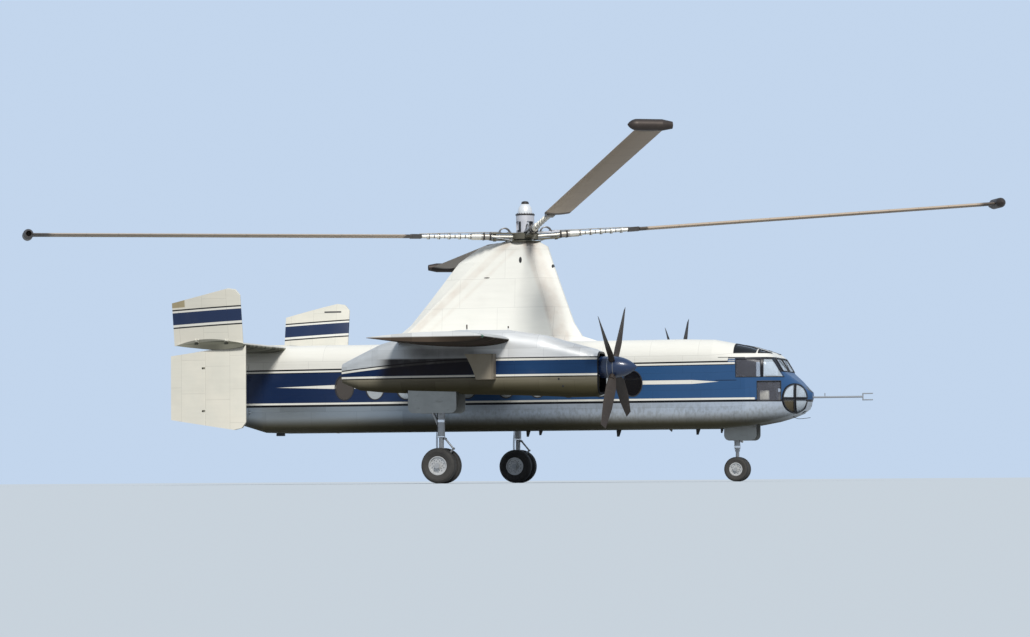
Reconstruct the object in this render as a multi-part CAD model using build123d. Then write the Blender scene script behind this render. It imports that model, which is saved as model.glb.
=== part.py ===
from build123d import *
import math
import os

# Gyrodyne: a compound rotorcraft with a four-blade tip-jet rotor on a tall pylon,
# a shoulder wing with two turboprop nacelles and a twin-fin tail, standing on its wheels.
# Millimetres. +X is the nose, +Y the port side, +Z up; the origin is on the ground
# under the rotor's axis. Heights named ..._H are above the belly, which is BELLY_Z up.

# Driving dimensions
BELLY_Z = 1430
ROTOR_R = 13715
ROTOR_H = 5330
ROTOR_AZIMUTH = 25.7
WING_HALF_SPAN = 7085
WING_CHORD = 3180
WING_LE_X = 745
WING_H = 2330
WING_T_ROOT = 470
WING_T_TIP = 270
NACELLE_Y = 3800
PROP_R = 1980
PROP_X = 3420
PROP_H = 1585
TAIL_LE_X = -6580
TAIL_CHORD = 1880
TAIL_H = 2310
TAIL_T = 220
TAIL_HALF_SPAN = 4560
SADDLE_OVER = 12
SADDLE_HALF = 900
FIN_Y = 4400
FIN_T = 190
FUSELAGE_T = 60
FLOOR_H = 280
WALL_TOP_H = 1880
CABIN_AFT_X = -7600
CABIN_FRONT_X = 5600
BELLY_SPLIT_X = 5300
DOOR_GAP = 6
MAIN_GEAR_X = -1300
MAIN_TYRE_R = 470
MAIN_TYRE_W = 290
MAIN_WHEEL_Y = 250
NOSE_GEAR_X = 5900
NOSE_TYRE_R = 330
NOSE_TYRE_W = 190
NOSE_WHEEL_Y = 160

# Fits and hinges
SEAT_GAP = 0.3
SHAFT_FIT = 0.08
HINGE_GAP = 7
PIN_R = 14
EYE_R = 30
EYE_LENGTH = 40
PIN_SEAT = 30

ARM_T = 24
DOOR_PIN_OUT = 36
FIN_PIN_OUT = 44
FIN_PIN_UP = 100

# Doors: x, x, low and high edge above the belly
PASSENGER_DOOR = (4150, 5100, 330, 1840)
CLAMSHELL_HINGES_H = (560, 1500)

# Wing and tail surfaces
WING_TIP_CHORD = 3070
AILERON_Y = (4600, 6950)
AILERON_SHARE = 0.74
AILERON_NOSE_R = 115
ELEVATOR_Y = (1450, 3940)
ELEVATOR_SHARE = 0.66
ELEVATOR_NOSE_R = 86
RUDDER_X = -7750
RUDDER_NOSE_R = 90
RUDDER_HINGES_H = (550, 1700)
LOWER_FIN_TE_X = -8710
LOWER_FIN = [(-6570, 2300), (-8710, 2040), (-8710, 320), (-6900, 40), (-6680, 90), (-6570, 240)]
UPPER_FIN_TE_X = -8580
UPPER_FIN = [(-6620, -200), (-8580, -200), (-8580, 1160), (-6980, 1530), (-6760, 1500), (-6620, 1340)]
FIN_CANT = 10
FIN_HINGES_X = (-7050, -7900)

# Nacelle, engine and exhaust
NACELLE_CORNER = 0.62
COWL_T = 45
ENGINE_X = (950, 2700)
ENGINE_R = 350
GEARBOX_R = 190
PROP_SHAFT_R = 60
WHEEL_BAY_X = (-2150, -700)
WHEEL_BAY_HALF = 430
WHEEL_BAY_TOP_H = 1750
NACELLE_SPLIT_X = -600
POST_R = 18
# Posts on top of each nacelle: x, height of the top
NACELLE_POSTS = [(-580, 2770), (560, 2710)]
EXHAUST_OUT = 240
EXHAUST_WALL = 18
EXHAUST_FRONT_X = 390
EXHAUST_LOW = (-90, 1290)
EXHAUST_MID = (-190, 1560)
EXHAUST_TOP = (-400, 1960)
SPINNER_X = (3080, 4050)
SPINNER_R = 285
PROP_BLADES = 4
PROP_TURN = 52
# Propeller blade sections: radius, chord, thickness, pitch
PROP_SECTIONS = [
    (300, 180, 90, 68),
    (700, 300, 48, 50),
    (1300, 320, 30, 36),
    (1980, 200, 14, 26),
]

# Rotor head and blades; the flap and drag angles are those of the photographed moment
DRUM_H = (5300, 5960)
DRUM_R = 250
PLATE_R = 430
FORK_REACH = 960
FORK_PLATE = (190, 44)
FORK_GAP = 130
FORK_PIN_X = 860
FORK_PIN_R = 44
CAP_R = 200
CAP_TOP_H = 6290
MAST_R = 110
BLADE_FLAP = [4.3, 7.5, -0.1, -0.2]
BLADE_DRAG = [0, 2.3, 0, 0]
BLADE_CHORD = 686
BLADE_T = 100
ARM_REACH = (980, 3200)
ARM_R = 52
ARM_SLEEVE_R = 92
ARM_COLLARS = 7
ARM_COLLAR_R = 78
ARM_COLLAR_END = 2700
JET_R = 140
TIP_R = 12
JET_LENGTH = 1100
JET_AFT = 600
JET_NOSE = 240
JET_TAIL = 260
JET_TAPER = 52
JET_WALL = 14

# Landing gear
MAIN_RIM_R = 250
MAIN_AXLE_R = 50
MAIN_LEG_R = 95
MAIN_PISTON_R = 66
MAIN_SLEEVE_Z = 1250
NOSE_RIM_R = 180
NOSE_AXLE_R = 34
NOSE_LEG_R = 78
NOSE_PISTON_R = 48
NOSE_SLEEVE_Z = 860
NOSE_BAY_HALF = 300
NOSE_BAY_AFT = 340
NOSE_BAY_FRONT = 620
NOSE_BAY_TOP_H = 230
GEAR_DOOR_T = 28
GEAR_DOOR_CORNER = 150

# Probe and aerials: x of the front edge, length, drop
PROBE_FORK_X = 9340
PROBE_TIP_X = 9610
BELLY_AERIALS = [
    (120, 130, 170), (470, 120, 130), (2690, 150, 190), (4890, 130, 160), (5530, 90, 120),
]

# Fuselage sections from the nose to the tail: x, half width, low and high edge above
# the belly, radius of the low and of the high corners
FUSELAGE = [
    (7990, 110, 760, 950, 90, 90),
    (7860, 420, 490, 1045, 200, 230),
    (7640, 720, 370, 1255, 280, 330),
    (7390, 940, 285, 1460, 340, 380),
    (7100, 1110, 210, 1900, 380, 420),
    (6940, 1180, 170, 2020, 400, 440),
    (6400, 1320, 80, 2190, 400, 500),
    (5500, 1370, 0, 2375, 380, 520),
    (4600, 1370, 0, 2400, 380, 520),
    (-7200, 1370, 0, 2400, 380, 520),
    (-7850, 1340, 190, 2400, 420, 520),
    (-8700, 1200, 640, 2380, 450, 500),
    (-9450, 900, 1160, 2300, 400, 450),
    (-9900, 520, 1560, 2200, 250, 260),
]

# Nacelle sections from the intake to the tail: x, half width, low and high edge
NACELLE = [
    (3110, 440, 880, 1990),
    (2930, 490, 820, 2070),
    (2300, 560, 815, 2240),
    (1590, 600, 850, 2450),
    (640, 620, 890, 2600),
    (-700, 620, 930, 2620),
    (-2000, 580, 960, 2520),
    (-2900, 490, 1000, 2280),
    (-3500, 380, 1060, 2010),
    (-4000, 230, 1260, 1780),
]

# Pylon sections upwards: height, front, front crease, rear crease, rear, half width
# at the front crease and at the rear crease
PYLON = [
    (2400, 2130, 1035, -3640, -3960, 630, 420),
    (2570, 1600, 950, -3450, -3720, 620, 400),
    (2940, 1370, 850, -3040, -3260, 590, 380),
    (3580, 1140, 690, -2390, -2720, 540, 340),
    (4640, 770, 370, -1320, -1870, 460, 290),
    (5050, 640, 200, -680, -1260, 420, 260),
    (5170, 420, 60, -560, -820, 300, 200),
]

# Cabin windows: the middle of each oval along X
WINDOWS_X = [-4800, -3920, -3040, -2160, -1280, -190, 690, 1570, 2450, 3330]
WINDOW_H = 1215
WINDOW_HALF_WIDTH = 255
WINDOW_HALF_HEIGHT = 330

parts = {}


def above_belly(height):
    """Height above the ground of a point given above the belly."""
    return BELLY_Z + height


def block(x0, x1, y0, y1, z0, z1):
    """A box between two corners, heights above the ground."""
    return Pos((x0 + x1) / 2, (y0 + y1) / 2, (z0 + z1) / 2) * Box(x1 - x0, y1 - y0, z1 - z0)


def mirror_y(shape):
    """The same piece on the other side of the aircraft."""
    return mirror(shape, about=Plane.XZ)


def across(x):
    """A plane across the fuselage at x, with its own x along +Y and its y up."""
    return Plane(origin=(x, 0, 0), x_dir=(0, 1, 0), z_dir=(1, 0, 0))


def rod(start, end, radius):
    """A round bar between two points."""
    axis = Vector(*end) - Vector(*start)
    plane = Plane(origin=start, z_dir=axis)
    return extrude(plane * Circle(radius), axis.length)


def rounded_section(row, inset):
    """One closed section of the fuselage, moved in from its skin by inset."""
    x, half, low, high, r_low, r_high = row
    half, low, high = half - inset, low + inset, high - inset
    face = Rectangle(2 * half, high - low)
    face = fillet(face.vertices().sort_by(Axis.Y)[:2], max(r_low - inset, 8))
    face = fillet(face.vertices().sort_by(Axis.Y)[-2:], max(r_high - inset, 8))
    return across(x) * Pos(0, above_belly((low + high) / 2)) * face


def fuselage_loft(inset):
    """The whole fuselage as a solid, with its skin moved in by inset."""
    rows = [list(r) for r in FUSELAGE]
    rows[0][0] -= inset
    rows[-1][0] += inset
    return loft([rounded_section(r, inset) for r in rows], ruled=True)


def blade_section(chord, thickness, edge=5, share=0.3):
    """A thin section of round arcs only: nose at the origin, chord along -X."""
    nose_r = 0.22 * thickness
    deep = -share * chord
    half = thickness / 2
    rise = ThreePointArc((-nose_r, nose_r), (0, 0), (-nose_r, -nose_r))
    pieces = [rise]
    for side in (1, -1):
        pieces.append(TangentArc((deep, side * half), (-nose_r, side * nose_r), tangent=(1, 0)))
        pieces.append(TangentArc((deep, side * half), (-chord, side * edge / 2), tangent=(-1, 0)))
    pieces.append(Line((-chord, edge / 2), (-chord, -edge / 2)))
    return make_face(pieces)


def airfoil(chord, thickness, edge=14, share=0.32):
    """A wing section: nose at the origin, chord along -X, thickness along Y."""
    deep = -share * chord
    nose = EllipticalCenterArc((deep, 0), -deep, thickness / 2, 0, arc_size=90)
    top = TangentArc((deep, thickness / 2), (-chord, edge / 2), tangent=(-1, 0))
    back = Line((-chord, edge / 2), (-chord, -edge / 2))
    low = TangentArc((deep, -thickness / 2), (-chord, -edge / 2), tangent=(-1, 0))
    under = EllipticalCenterArc((deep, 0), -deep, thickness / 2, 270, arc_size=90)
    return make_face([nose, top, back, low, under])


def hinge_line(fixed, moving, frame, stations, slot_r, arm, arm_t=24):
    """Eyes on the fixed piece and pins on the moving one, along the local Z of frame.

    The moving piece lies towards local +X, and arm reaches back into the fixed piece.
    """
    for s in stations:
        at = frame * Pos(0, 0, s)
        slot = EYE_LENGTH + 2 * HINGE_GAP
        moving = moving - at * Cylinder(slot_r, slot)
        moving = moving + at * Cylinder(PIN_R, slot + 2 * PIN_SEAT)
        eye = Cylinder(EYE_R, EYE_LENGTH) + Pos(-arm / 2, 0, 0) * Box(arm, arm_t, EYE_LENGTH)
        eye = eye - Cylinder(PIN_R + SHAFT_FIT, EYE_LENGTH + 2)
        fixed = fixed + at * eye
    return fixed, moving


def split_surface(whole, frame, nose_r, gap, z0, z1, stations, arm):
    """Cuts a control surface off a wing or fin along the local Z of frame.

    Local +X is towards the trailing edge; the surface runs from z0 to z1.
    """
    length = z1 - z0
    middle = (z0 + z1) / 2
    aft = frame * Pos(2500, 0, middle) * Box(5000, 1200, length)
    nose = frame * Pos(0, 0, middle) * Cylinder(nose_r, length)
    moving = (whole & aft) + (whole & nose)
    room = frame * Pos(0, 0, middle) * Cylinder(nose_r + gap, length + 2 * HINGE_GAP)
    behind = frame * Pos(2500, 0, middle) * Box(5000, 1200, length + 2 * HINGE_GAP)
    fixed = whole - room - behind
    return hinge_line(fixed, moving, frame, stations, nose_r + gap, arm)


def fuselage():
    """Belly, walls, roof, nose and tail as panels of one shell, with their openings."""
    skin = fuselage_loft(0)
    room = fuselage_loft(FUSELAGE_T)
    shell = skin - room
    floor = above_belly(FLOOR_H)
    wall_top = above_belly(WALL_TOP_H)
    far = 12000
    side = 2000
    cockpit_floor_x = 6650
    parts["fuselage_belly"] = skin & block(CABIN_AFT_X, BELLY_SPLIT_X, -side, side, 0, floor)
    parts["nose_belly"] = skin & block(BELLY_SPLIT_X, cockpit_floor_x, -side, side, 0, floor)
    walls = shell & block(CABIN_AFT_X, CABIN_FRONT_X, -side, side, floor, wall_top)
    right = walls & block(CABIN_AFT_X, CABIN_FRONT_X, -side, 0, 0, far)
    oval = extrude(Plane.XZ * Ellipse(WINDOW_HALF_WIDTH, WINDOW_HALF_HEIGHT), side, both=True)
    pane = extrude(
        Plane.XZ * Ellipse(WINDOW_HALF_WIDTH - SEAT_GAP, WINDOW_HALF_HEIGHT - SEAT_GAP),
        side,
        both=True,
    )
    glass_shell = block(-far, far, FUSELAGE[8][1] - 40, FUSELAGE[8][1] - 20, 0, far)
    panes = []
    for x in WINDOWS_X:
        at = Pos(x, 0, above_belly(WINDOW_H))
        right = right - at * oval
        panes.append((at * pane) & glass_shell)
    left = mirror_y(right)
    parts["cabin_windows"] = Compound(panes + [mirror_y(p) for p in panes])
    parts["fuselage_wall_right"] = right
    parts["fuselage_roof"] = shell & block(CABIN_AFT_X, CABIN_FRONT_X, -side, side, wall_top, far)
    nose = shell & (
        block(CABIN_FRONT_X, far, -side, side, floor, far)
        + block(cockpit_floor_x, far, -side, side, 0, floor + 1)
    )
    parts["nose_shell"], parts["cockpit_glazing"] = nose_windows(nose)
    tail = shell & block(-far, CABIN_AFT_X, -side, side, 0, far)
    return left, tail, room


# Nose windows, in side view: x and height of each corner
NOSE_PANES = [
    [(6150, 1350), (6800, 1350), (6800, 1840), (6150, 1840)],
    [(6860, 1350), (7360, 1350), (7070, 1840), (6860, 1840)],
    [(6700, 720), (7300, 720), (7300, 1240), (6700, 1240)],
]
ROOF_PANES = [(6080, 6650), (6700, 7110)]
ROOF_PANES_LOW_H = 1985
# The round nose window: middle, half width, half height, width of its cross frame
NOSE_WINDOW = (7620, 775, 265, 375)
NOSE_FRAME = 42


def nose_window_faces(shrink):
    """The four quarters of the round nose window, in side view, each smaller by shrink."""
    x, h, half_w, half_h = NOSE_WINDOW
    oval = Pos(x, above_belly(h)) * Ellipse(half_w - shrink, half_h - shrink)
    far = 2 * half_h
    away = NOSE_FRAME / 2 + shrink + far / 2
    quarters = []
    for dx in (-1, 1):
        for dz in (-1, 1):
            corner = Pos(x + dx * away, above_belly(h) + dz * away) * Rectangle(far, far)
            quarters.append((oval & corner).faces()[0])
    return quarters


def nose_windows(nose):
    """Cuts the cockpit glazing out of the nose and returns the nose and the panes."""
    glass = fuselage_loft(20) - fuselage_loft(38)
    side = 2000

    def tools(shrink):
        found = []
        faces = nose_window_faces(shrink)
        for corners in NOSE_PANES:
            face = make_face(Polyline(*[(x, above_belly(h)) for x, h in corners], close=True))
            faces.append(offset(face, -shrink) if shrink else face)
        for face in faces:
            for sign in (-1, 1):
                slab = extrude(Plane.XZ * face, side * sign * -1)
                found.append(slab & block(5000, 9000, *sorted((sign * 60, sign * side)), 0, 9000))
        for x0, x1 in ROOF_PANES:
            for sign in (-1, 1):
                ys = sorted((sign * (420 + shrink), sign * side))
                found.append(
                    block(x0 + shrink, x1 - shrink, *ys, above_belly(ROOF_PANES_LOW_H) + shrink, 9000)
                )
        for sign in (-1, 1):
            ys = sorted((sign * (35 + shrink), sign * (760 - shrink)))
            found.append(
                block(7120, 9000, *ys, above_belly(1500) + shrink, above_belly(1860) - shrink)
            )
        return found

    panes = []
    for tool in tools(SEAT_GAP):
        panes.extend((glass & tool).solids())
    for tool in tools(0):
        nose = nose - tool
    return nose, Compound(panes)


def knuckles(frame, stations, fixed_to, moving_to):
    """Hinge eyes along the local Z of frame: one on the fixed piece, two on the moving one.

    fixed_to and moving_to are the local points that the arms of the eyes reach.
    """
    side = EYE_LENGTH / 2 + HINGE_GAP
    fixed, moving = [], []

    def arm(to, height):
        x, y = to
        length = math.hypot(x, y)
        turn = math.degrees(math.atan2(y, x))
        return Rot(0, 0, turn) * Pos(length / 2, 0, 0) * Box(length, ARM_T, height)

    for s in stations:
        at = frame * Pos(0, 0, s)
        eye = Cylinder(EYE_R, EYE_LENGTH) + arm(fixed_to, EYE_LENGTH)
        fixed.append(at * (eye - Cylinder(PIN_R + SHAFT_FIT, EYE_LENGTH + 2)))
        pair = Cylinder(PIN_R, 2 * side + EYE_LENGTH)
        for sign in (-1, 1):
            end = Cylinder(EYE_R, EYE_LENGTH / 2) + arm(moving_to, EYE_LENGTH / 2)
            pair = pair + Pos(0, 0, sign * (side + EYE_LENGTH / 4)) * end
        moving.append(at * pair)
    return fixed, moving


def fuse(first, others):
    """One solid from a piece and what is fixed to it."""
    for other in others:
        first = first + other
    return first


def doors(left, tail):
    """The passenger door in the port wall and the two clamshell doors under the tail."""
    x0, x1, low, high = PASSENGER_DOOR
    skin_y = FUSELAGE[8][1]
    hole = block(x0, x1, 0, 2 * skin_y, above_belly(low), above_belly(high))
    gap = DOOR_GAP
    leaf_space = block(
        x0 + gap, x1 - gap, 0, 2 * skin_y, above_belly(low) + gap, above_belly(high) - gap
    )
    leaf = left & leaf_space
    wall = left - hole
    hinge = Plane(
        origin=(x1 - gap / 2, skin_y + DOOR_PIN_OUT, 0), x_dir=(1, 0, 0), z_dir=(0, 0, 1)
    ).location
    stations = [above_belly(low) + k * (high - low) for k in (0.2, 0.8)]
    eyes, pairs = knuckles(hinge, stations, (90, -DOOR_PIN_OUT - 12), (-90, -DOOR_PIN_OUT - 12))
    parts["fuselage_wall_left"] = fuse(wall, eyes)
    parts["passenger_door"] = fuse(leaf, pairs)
    top = above_belly(WALL_TOP_H)
    far = 12000
    parts["tail_cone"] = tail & block(-far, far, -far, far, top, far)
    leaf = tail & block(-far, CABIN_AFT_X - gap, gap / 2, far, 0, top - gap)
    hinge = Plane(
        origin=(CABIN_AFT_X - gap / 2, skin_y + DOOR_PIN_OUT, 0), x_dir=(1, 0, 0), z_dir=(0, 0, 1)
    ).location
    stations = [above_belly(h) for h in CLAMSHELL_HINGES_H]
    eyes, pairs = knuckles(hinge, stations, (90, -DOOR_PIN_OUT - 12), (-90, -DOOR_PIN_OUT - 20))
    leaf = fuse(leaf, pairs)
    parts["fuselage_wall_left"] = fuse(parts["fuselage_wall_left"], eyes)
    parts["fuselage_wall_right"] = fuse(parts["fuselage_wall_right"], [mirror_y(e) for e in eyes])
    parts["clamshell_door_left"] = leaf
    parts["clamshell_door_right"] = mirror_y(leaf)


def wing_section(y, chord, thickness):
    """The wing's section at a station along the span."""
    plane = Plane(
        origin=(WING_LE_X, y, above_belly(WING_H)), x_dir=(1, 0, 0), z_dir=(0, -1, 0)
    )
    return plane * airfoil(chord, thickness)


def wing():
    """The wing in one piece from tip to tip, with an aileron outboard on each side."""
    ends = [wing_section(0, WING_CHORD, WING_T_ROOT)]
    ends.append(wing_section(WING_HALF_SPAN, WING_TIP_CHORD, WING_T_TIP))
    half = loft(ends, ruled=True)
    y0, y1 = AILERON_Y
    share = AILERON_SHARE
    hinge_x = WING_LE_X - share * WING_CHORD
    nose_r = AILERON_NOSE_R
    frame = Plane(
        origin=(hinge_x, 0, above_belly(WING_H)), x_dir=(-1, 0, 0), z_dir=(0, 1, 0)
    ).location
    stations = [y0 + k * (y1 - y0) for k in (0.15, 0.85)]
    half, aileron = split_surface(half, frame, nose_r, HINGE_GAP, y0, y1, stations, 2 * nose_r)
    parts["aileron_left"] = aileron
    parts["aileron_right"] = mirror_y(aileron)
    parts["wing"] = half + mirror_y(half)
    return parts["wing"]


def nacelle_section(row, inset):
    """One section of a nacelle, moved in from its skin by inset."""
    x, half, low, high = row
    half, low, high = half - inset, low + inset, high - inset
    face = Rectangle(2 * half, high - low)
    face = fillet(face.vertices(), NACELLE_CORNER * half)
    return across(x) * Pos(NACELLE_Y, above_belly((low + high) / 2)) * face


def nacelle(wing_solid):
    """A nacelle with its intake, engine room, wheel bay and exhaust on each side."""
    hull = loft([nacelle_section(row, 0) for row in NACELLE], ruled=True)
    intake = loft([nacelle_section(row, COWL_T) for row in NACELLE[:2]], ruled=True)
    lip = NACELLE[0][0]
    at = Pos(0, NACELLE_Y, above_belly(PROP_H)) * Rot(0, 90, 0)
    x_back, x_front = ENGINE_X
    length = x_front - x_back
    room = Pos((x_back + x_front) / 2, 0, 0) * at * Cylinder(ENGINE_R + 40, length + 700)
    room = room & block(x_back, lip, 0, 9000, 0, 9000)
    bay_x0, bay_x1 = WHEEL_BAY_X
    y0, y1 = NACELLE_Y - WHEEL_BAY_HALF, NACELLE_Y + WHEEL_BAY_HALF
    ceiling = above_belly(WHEEL_BAY_TOP_H)
    bay = block(bay_x0, bay_x1, y0, y1, 0, ceiling)
    body = hull - intake - room - bay - wing_solid
    for x, top in NACELLE_POSTS:
        post = Pos(x, NACELLE_Y, above_belly(top - 80)) * Cylinder(POST_R, 160)
        body = body + (post - wing_solid)
    duct = exhaust_duct() - hull - wing_solid
    engine = Pos((x_back + x_front) / 2, 0, 0) * at * Cylinder(ENGINE_R, length)
    shaft_end = PROP_X - 120
    shaft = Pos((x_front + shaft_end) / 2, 0, 0) * at * Cylinder(PROP_SHAFT_R, shaft_end - x_front)
    box = Pos(x_front + 130, 0, 0) * at * Cylinder(GEARBOX_R, 260)
    engine = engine + box + shaft
    front = body & block(NACELLE_SPLIT_X, 9000, 0, 9000, 0, 9000)
    rear = body & block(-9000, NACELLE_SPLIT_X, 0, 9000, 0, 9000)
    for name, piece in (("nacelle", front), ("nacelle_tail", rear)):
        parts[name + "_left"] = piece
        parts[name + "_right"] = mirror_y(piece)
    parts["engines"] = Compound([engine, mirror_y(engine)])
    duct = duct.solids().sort_by(SortBy.VOLUME)[-1]
    parts["exhaust_ducts"] = Compound([duct, mirror_y(duct)])
    return ceiling


def exhaust_duct():
    """The square exhaust duct on the outboard side of a nacelle, open at its curved aft end."""
    skin_y = NACELLE_Y + NACELLE[4][1]
    front = EXHAUST_FRONT_X
    (low_x, low_h), (mid_x, mid_h), (top_x, top_h) = EXHAUST_LOW, EXHAUST_MID, EXHAUST_TOP
    low, top = above_belly(low_h), above_belly(top_h)
    aft = ThreePointArc((low_x, low), (mid_x, above_belly(mid_h)), (top_x, top))
    rest = Polyline((top_x, top), (front, top), (front, low), (low_x, low))
    face = Plane(origin=(0, skin_y - 200, 0), x_dir=(1, 0, 0), z_dir=(0, -1, 0)) * make_face([aft, rest])
    duct = extrude(face, -200 - EXHAUST_OUT)
    wall = EXHAUST_WALL
    way = block(top_x - 400, front - wall, 0, skin_y + EXHAUST_OUT - wall, low + wall, top - wall)
    return duct - way


def propeller():
    """A spinner and four blades on the propeller shaft of each engine."""
    shaft_end = PROP_X - 120
    base_x, nose_x = SPINNER_X
    r = SPINNER_R
    nose, base = nose_x - PROP_X, base_x - PROP_X
    arc = TangentArc((0, r), (nose, TIP_R), tangent=(1, 0))
    outline = Polyline((nose, TIP_R), (nose, 0), (base, 0), (base, r), (0, r))
    spinner = revolve(make_face([arc, outline]), Axis.X)
    depth = shaft_end - base_x
    bore = Cylinder(PROP_SHAFT_R + SHAFT_FIT, depth + 2)
    spinner = spinner - Pos(base + depth / 2, 0, 0) * Rot(0, 90, 0) * bore
    blades = []
    for k in range(PROP_BLADES):
        turn = Rot(360 / PROP_BLADES * k + PROP_TURN, 0, 0)
        sections = []
        for radius, chord, thick, pitch in PROP_SECTIONS:
            face = Pos(0.4 * chord, 0) * airfoil(chord, thick, 4)
            plane = Plane(origin=(0, 0, radius), x_dir=(0, 1, 0), z_dir=(0, 0, 1))
            sections.append(plane * Rot(0, 0, pitch) * face)
        blade = loft(sections, ruled=True)
        shank = Pos(0, 0, SPINNER_R * 0.9) * Cylinder(70, SPINNER_R)
        blade = turn * (blade + shank)
        blades.append(blade - spinner)
    at = Pos(PROP_X, NACELLE_Y, above_belly(PROP_H))
    parts["spinner_left"] = at * spinner
    parts["propeller_left"] = at * Compound([b.solids().sort_by(SortBy.VOLUME)[-1] for b in blades])
    back = Pos(PROP_X, -NACELLE_Y, above_belly(PROP_H))
    parts["spinner_right"] = back * spinner
    parts["propeller_right"] = back * Compound(
        [b.solids().sort_by(SortBy.VOLUME)[-1] for b in blades]
    )


def pylon(wing_solid):
    """The rotor pylon on the cabin roof, with the mast on which the rotor turns."""
    faces = []
    for h, front, crease_f, crease_r, rear, half_f, half_r in PYLON:
        blunt = half_r * 0.35
        ring = [
            (front, 60), (crease_f, half_f), (crease_r, half_r), (rear, blunt),
            (rear, -blunt), (crease_r, -half_r), (crease_f, -half_f), (front, -60),
        ]
        plane = Plane.XY.offset(above_belly(h))
        faces.append(plane * make_face(Polyline(*ring, close=True)))
    body = loft(faces, ruled=True)
    top = PYLON[-1][0]
    mast_end = above_belly(DRUM_H[1]) - 260
    mast_low = above_belly(top) - 200
    mast = Pos(0, 0, (mast_end + mast_low) / 2) * Cylinder(MAST_R, mast_end - mast_low)
    parts["rotor_pylon"] = (body - wing_solid) + mast


def rotor():
    """The rotor head, four blades with their arms, and the jet pod at each tip."""
    low, high = (above_belly(h) for h in DRUM_H)
    plate = above_belly(PYLON[-1][0]) + 10
    drum = Pos(0, 0, (plate + high) / 2) * Cylinder(DRUM_R, high - plate)
    drum = drum + Pos(0, 0, plate + 12) * Cylinder(PLATE_R, 24)
    drum = drum + Pos(0, 0, above_belly(ROTOR_H)) * Cylinder(DRUM_R + 110, 150)
    mast_end = high - 260 + 10
    bore = Pos(0, 0, (mast_end + plate) / 2 - 1)
    drum = drum - bore * Cylinder(MAST_R + SHAFT_FIT, mast_end - plate + 2)
    slots = [
        Rot(0, 0, 90 * k + 45) * Pos(DRUM_R, 0, low + 330) * Box(90, 170, 240) for k in range(4)
    ]
    for slot in slots:
        drum = drum - slot
    cap_h = above_belly(CAP_TOP_H)
    side = Line((0, high), (CAP_R, high))
    rise = Line((CAP_R, high), (CAP_R, high + 40))
    dome = TangentArc((CAP_R, high + 40), (TIP_R, cap_h), tangent=(0, 1))
    top = Polyline((TIP_R, cap_h), (0, cap_h), (0, high))
    outline = Plane.XZ * make_face([side, rise, dome, top])
    parts["rotor_cap"] = revolve(outline, Axis.Z)
    arms, blades, jets = [], [], []
    for k in range(4):
        azimuth = -ROTOR_AZIMUTH + 90 * k
        flap = BLADE_FLAP[k]
        turn = Rot(0, 0, BLADE_DRAG[k] - azimuth)
        frame = turn * Pos(0, 0, above_belly(ROTOR_H)) * Rot(0, -flap, 0)
        inner, outer = ARM_REACH
        arm = Pos((DRUM_R + 60 + outer) / 2, 0, 0) * Rot(0, 90, 0)
        arm = arm * Cylinder(ARM_R, outer - DRUM_R - 60)
        for n in range(ARM_COLLARS):
            x = inner + (ARM_COLLAR_END - inner) * n / (ARM_COLLARS - 1)
            arm = arm + Pos(x, 0, 0) * Rot(0, 90, 0) * Cylinder(ARM_COLLAR_R, 70)
        arm = arm + Pos(inner + 260, 0, 0) * Rot(0, 90, 0) * Cylinder(ARM_SLEEVE_R, 520)
        arm = arm + Pos(outer - 150, 0, 0) * Box(300, 220, 120)
        arms.append(frame * arm)
        width, thick = FORK_PLATE
        length = FORK_REACH - DRUM_R + 60
        for sign in (-1, 1):
            plate_at = Pos(FORK_REACH - length / 2, 0, sign * (FORK_GAP + thick) / 2)
            drum = drum + frame * plate_at * Box(length, width, thick)
        drum = drum + frame * Pos(FORK_PIN_X, 0, 0) * Cylinder(FORK_PIN_R, FORK_GAP + 3 * thick)
        root = Plane(origin=(outer, 0, 0), x_dir=(0, -1, 0), z_dir=(1, 0, 0))
        face = root * Pos(0.27 * BLADE_CHORD, 0) * blade_section(BLADE_CHORD, BLADE_T)
        tip = ROTOR_R - JET_R
        pod = Pos(tip, 0, 0) * jet_pod()
        blade = extrude(face, tip - JET_R / 2 - outer) - pod
        blade = blade.solids().sort_by(SortBy.VOLUME)[-1]
        blades.append(frame * blade)
        jets.append(frame * pod)
    parts["rotor_hub"] = drum
    parts["blade_arms"] = Compound([a - drum for a in arms])
    parts["rotor_blades"] = Compound(blades)
    parts["tip_jets"] = Compound(jets)


def jet_pod():
    """A jet pod along the Y axis, its intake end at -Y and its nozzle open at +Y."""
    front, shoulder = JET_AFT - JET_LENGTH, JET_AFT - JET_LENGTH + JET_NOSE
    boat, mouth_r = JET_AFT - JET_TAIL, JET_R - JET_TAPER
    bore_r = mouth_r - JET_WALL
    nose = TangentArc((JET_R, shoulder), (TIP_R, front), tangent=(0, -1))
    rest = Polyline(
        (JET_R, shoulder), (JET_R, boat), (mouth_r, JET_AFT), (bore_r, JET_AFT),
        (bore_r, boat), (0, boat), (0, front), (TIP_R, front),
    )
    return revolve(make_face([nose, rest]), Axis.Y)


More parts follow.
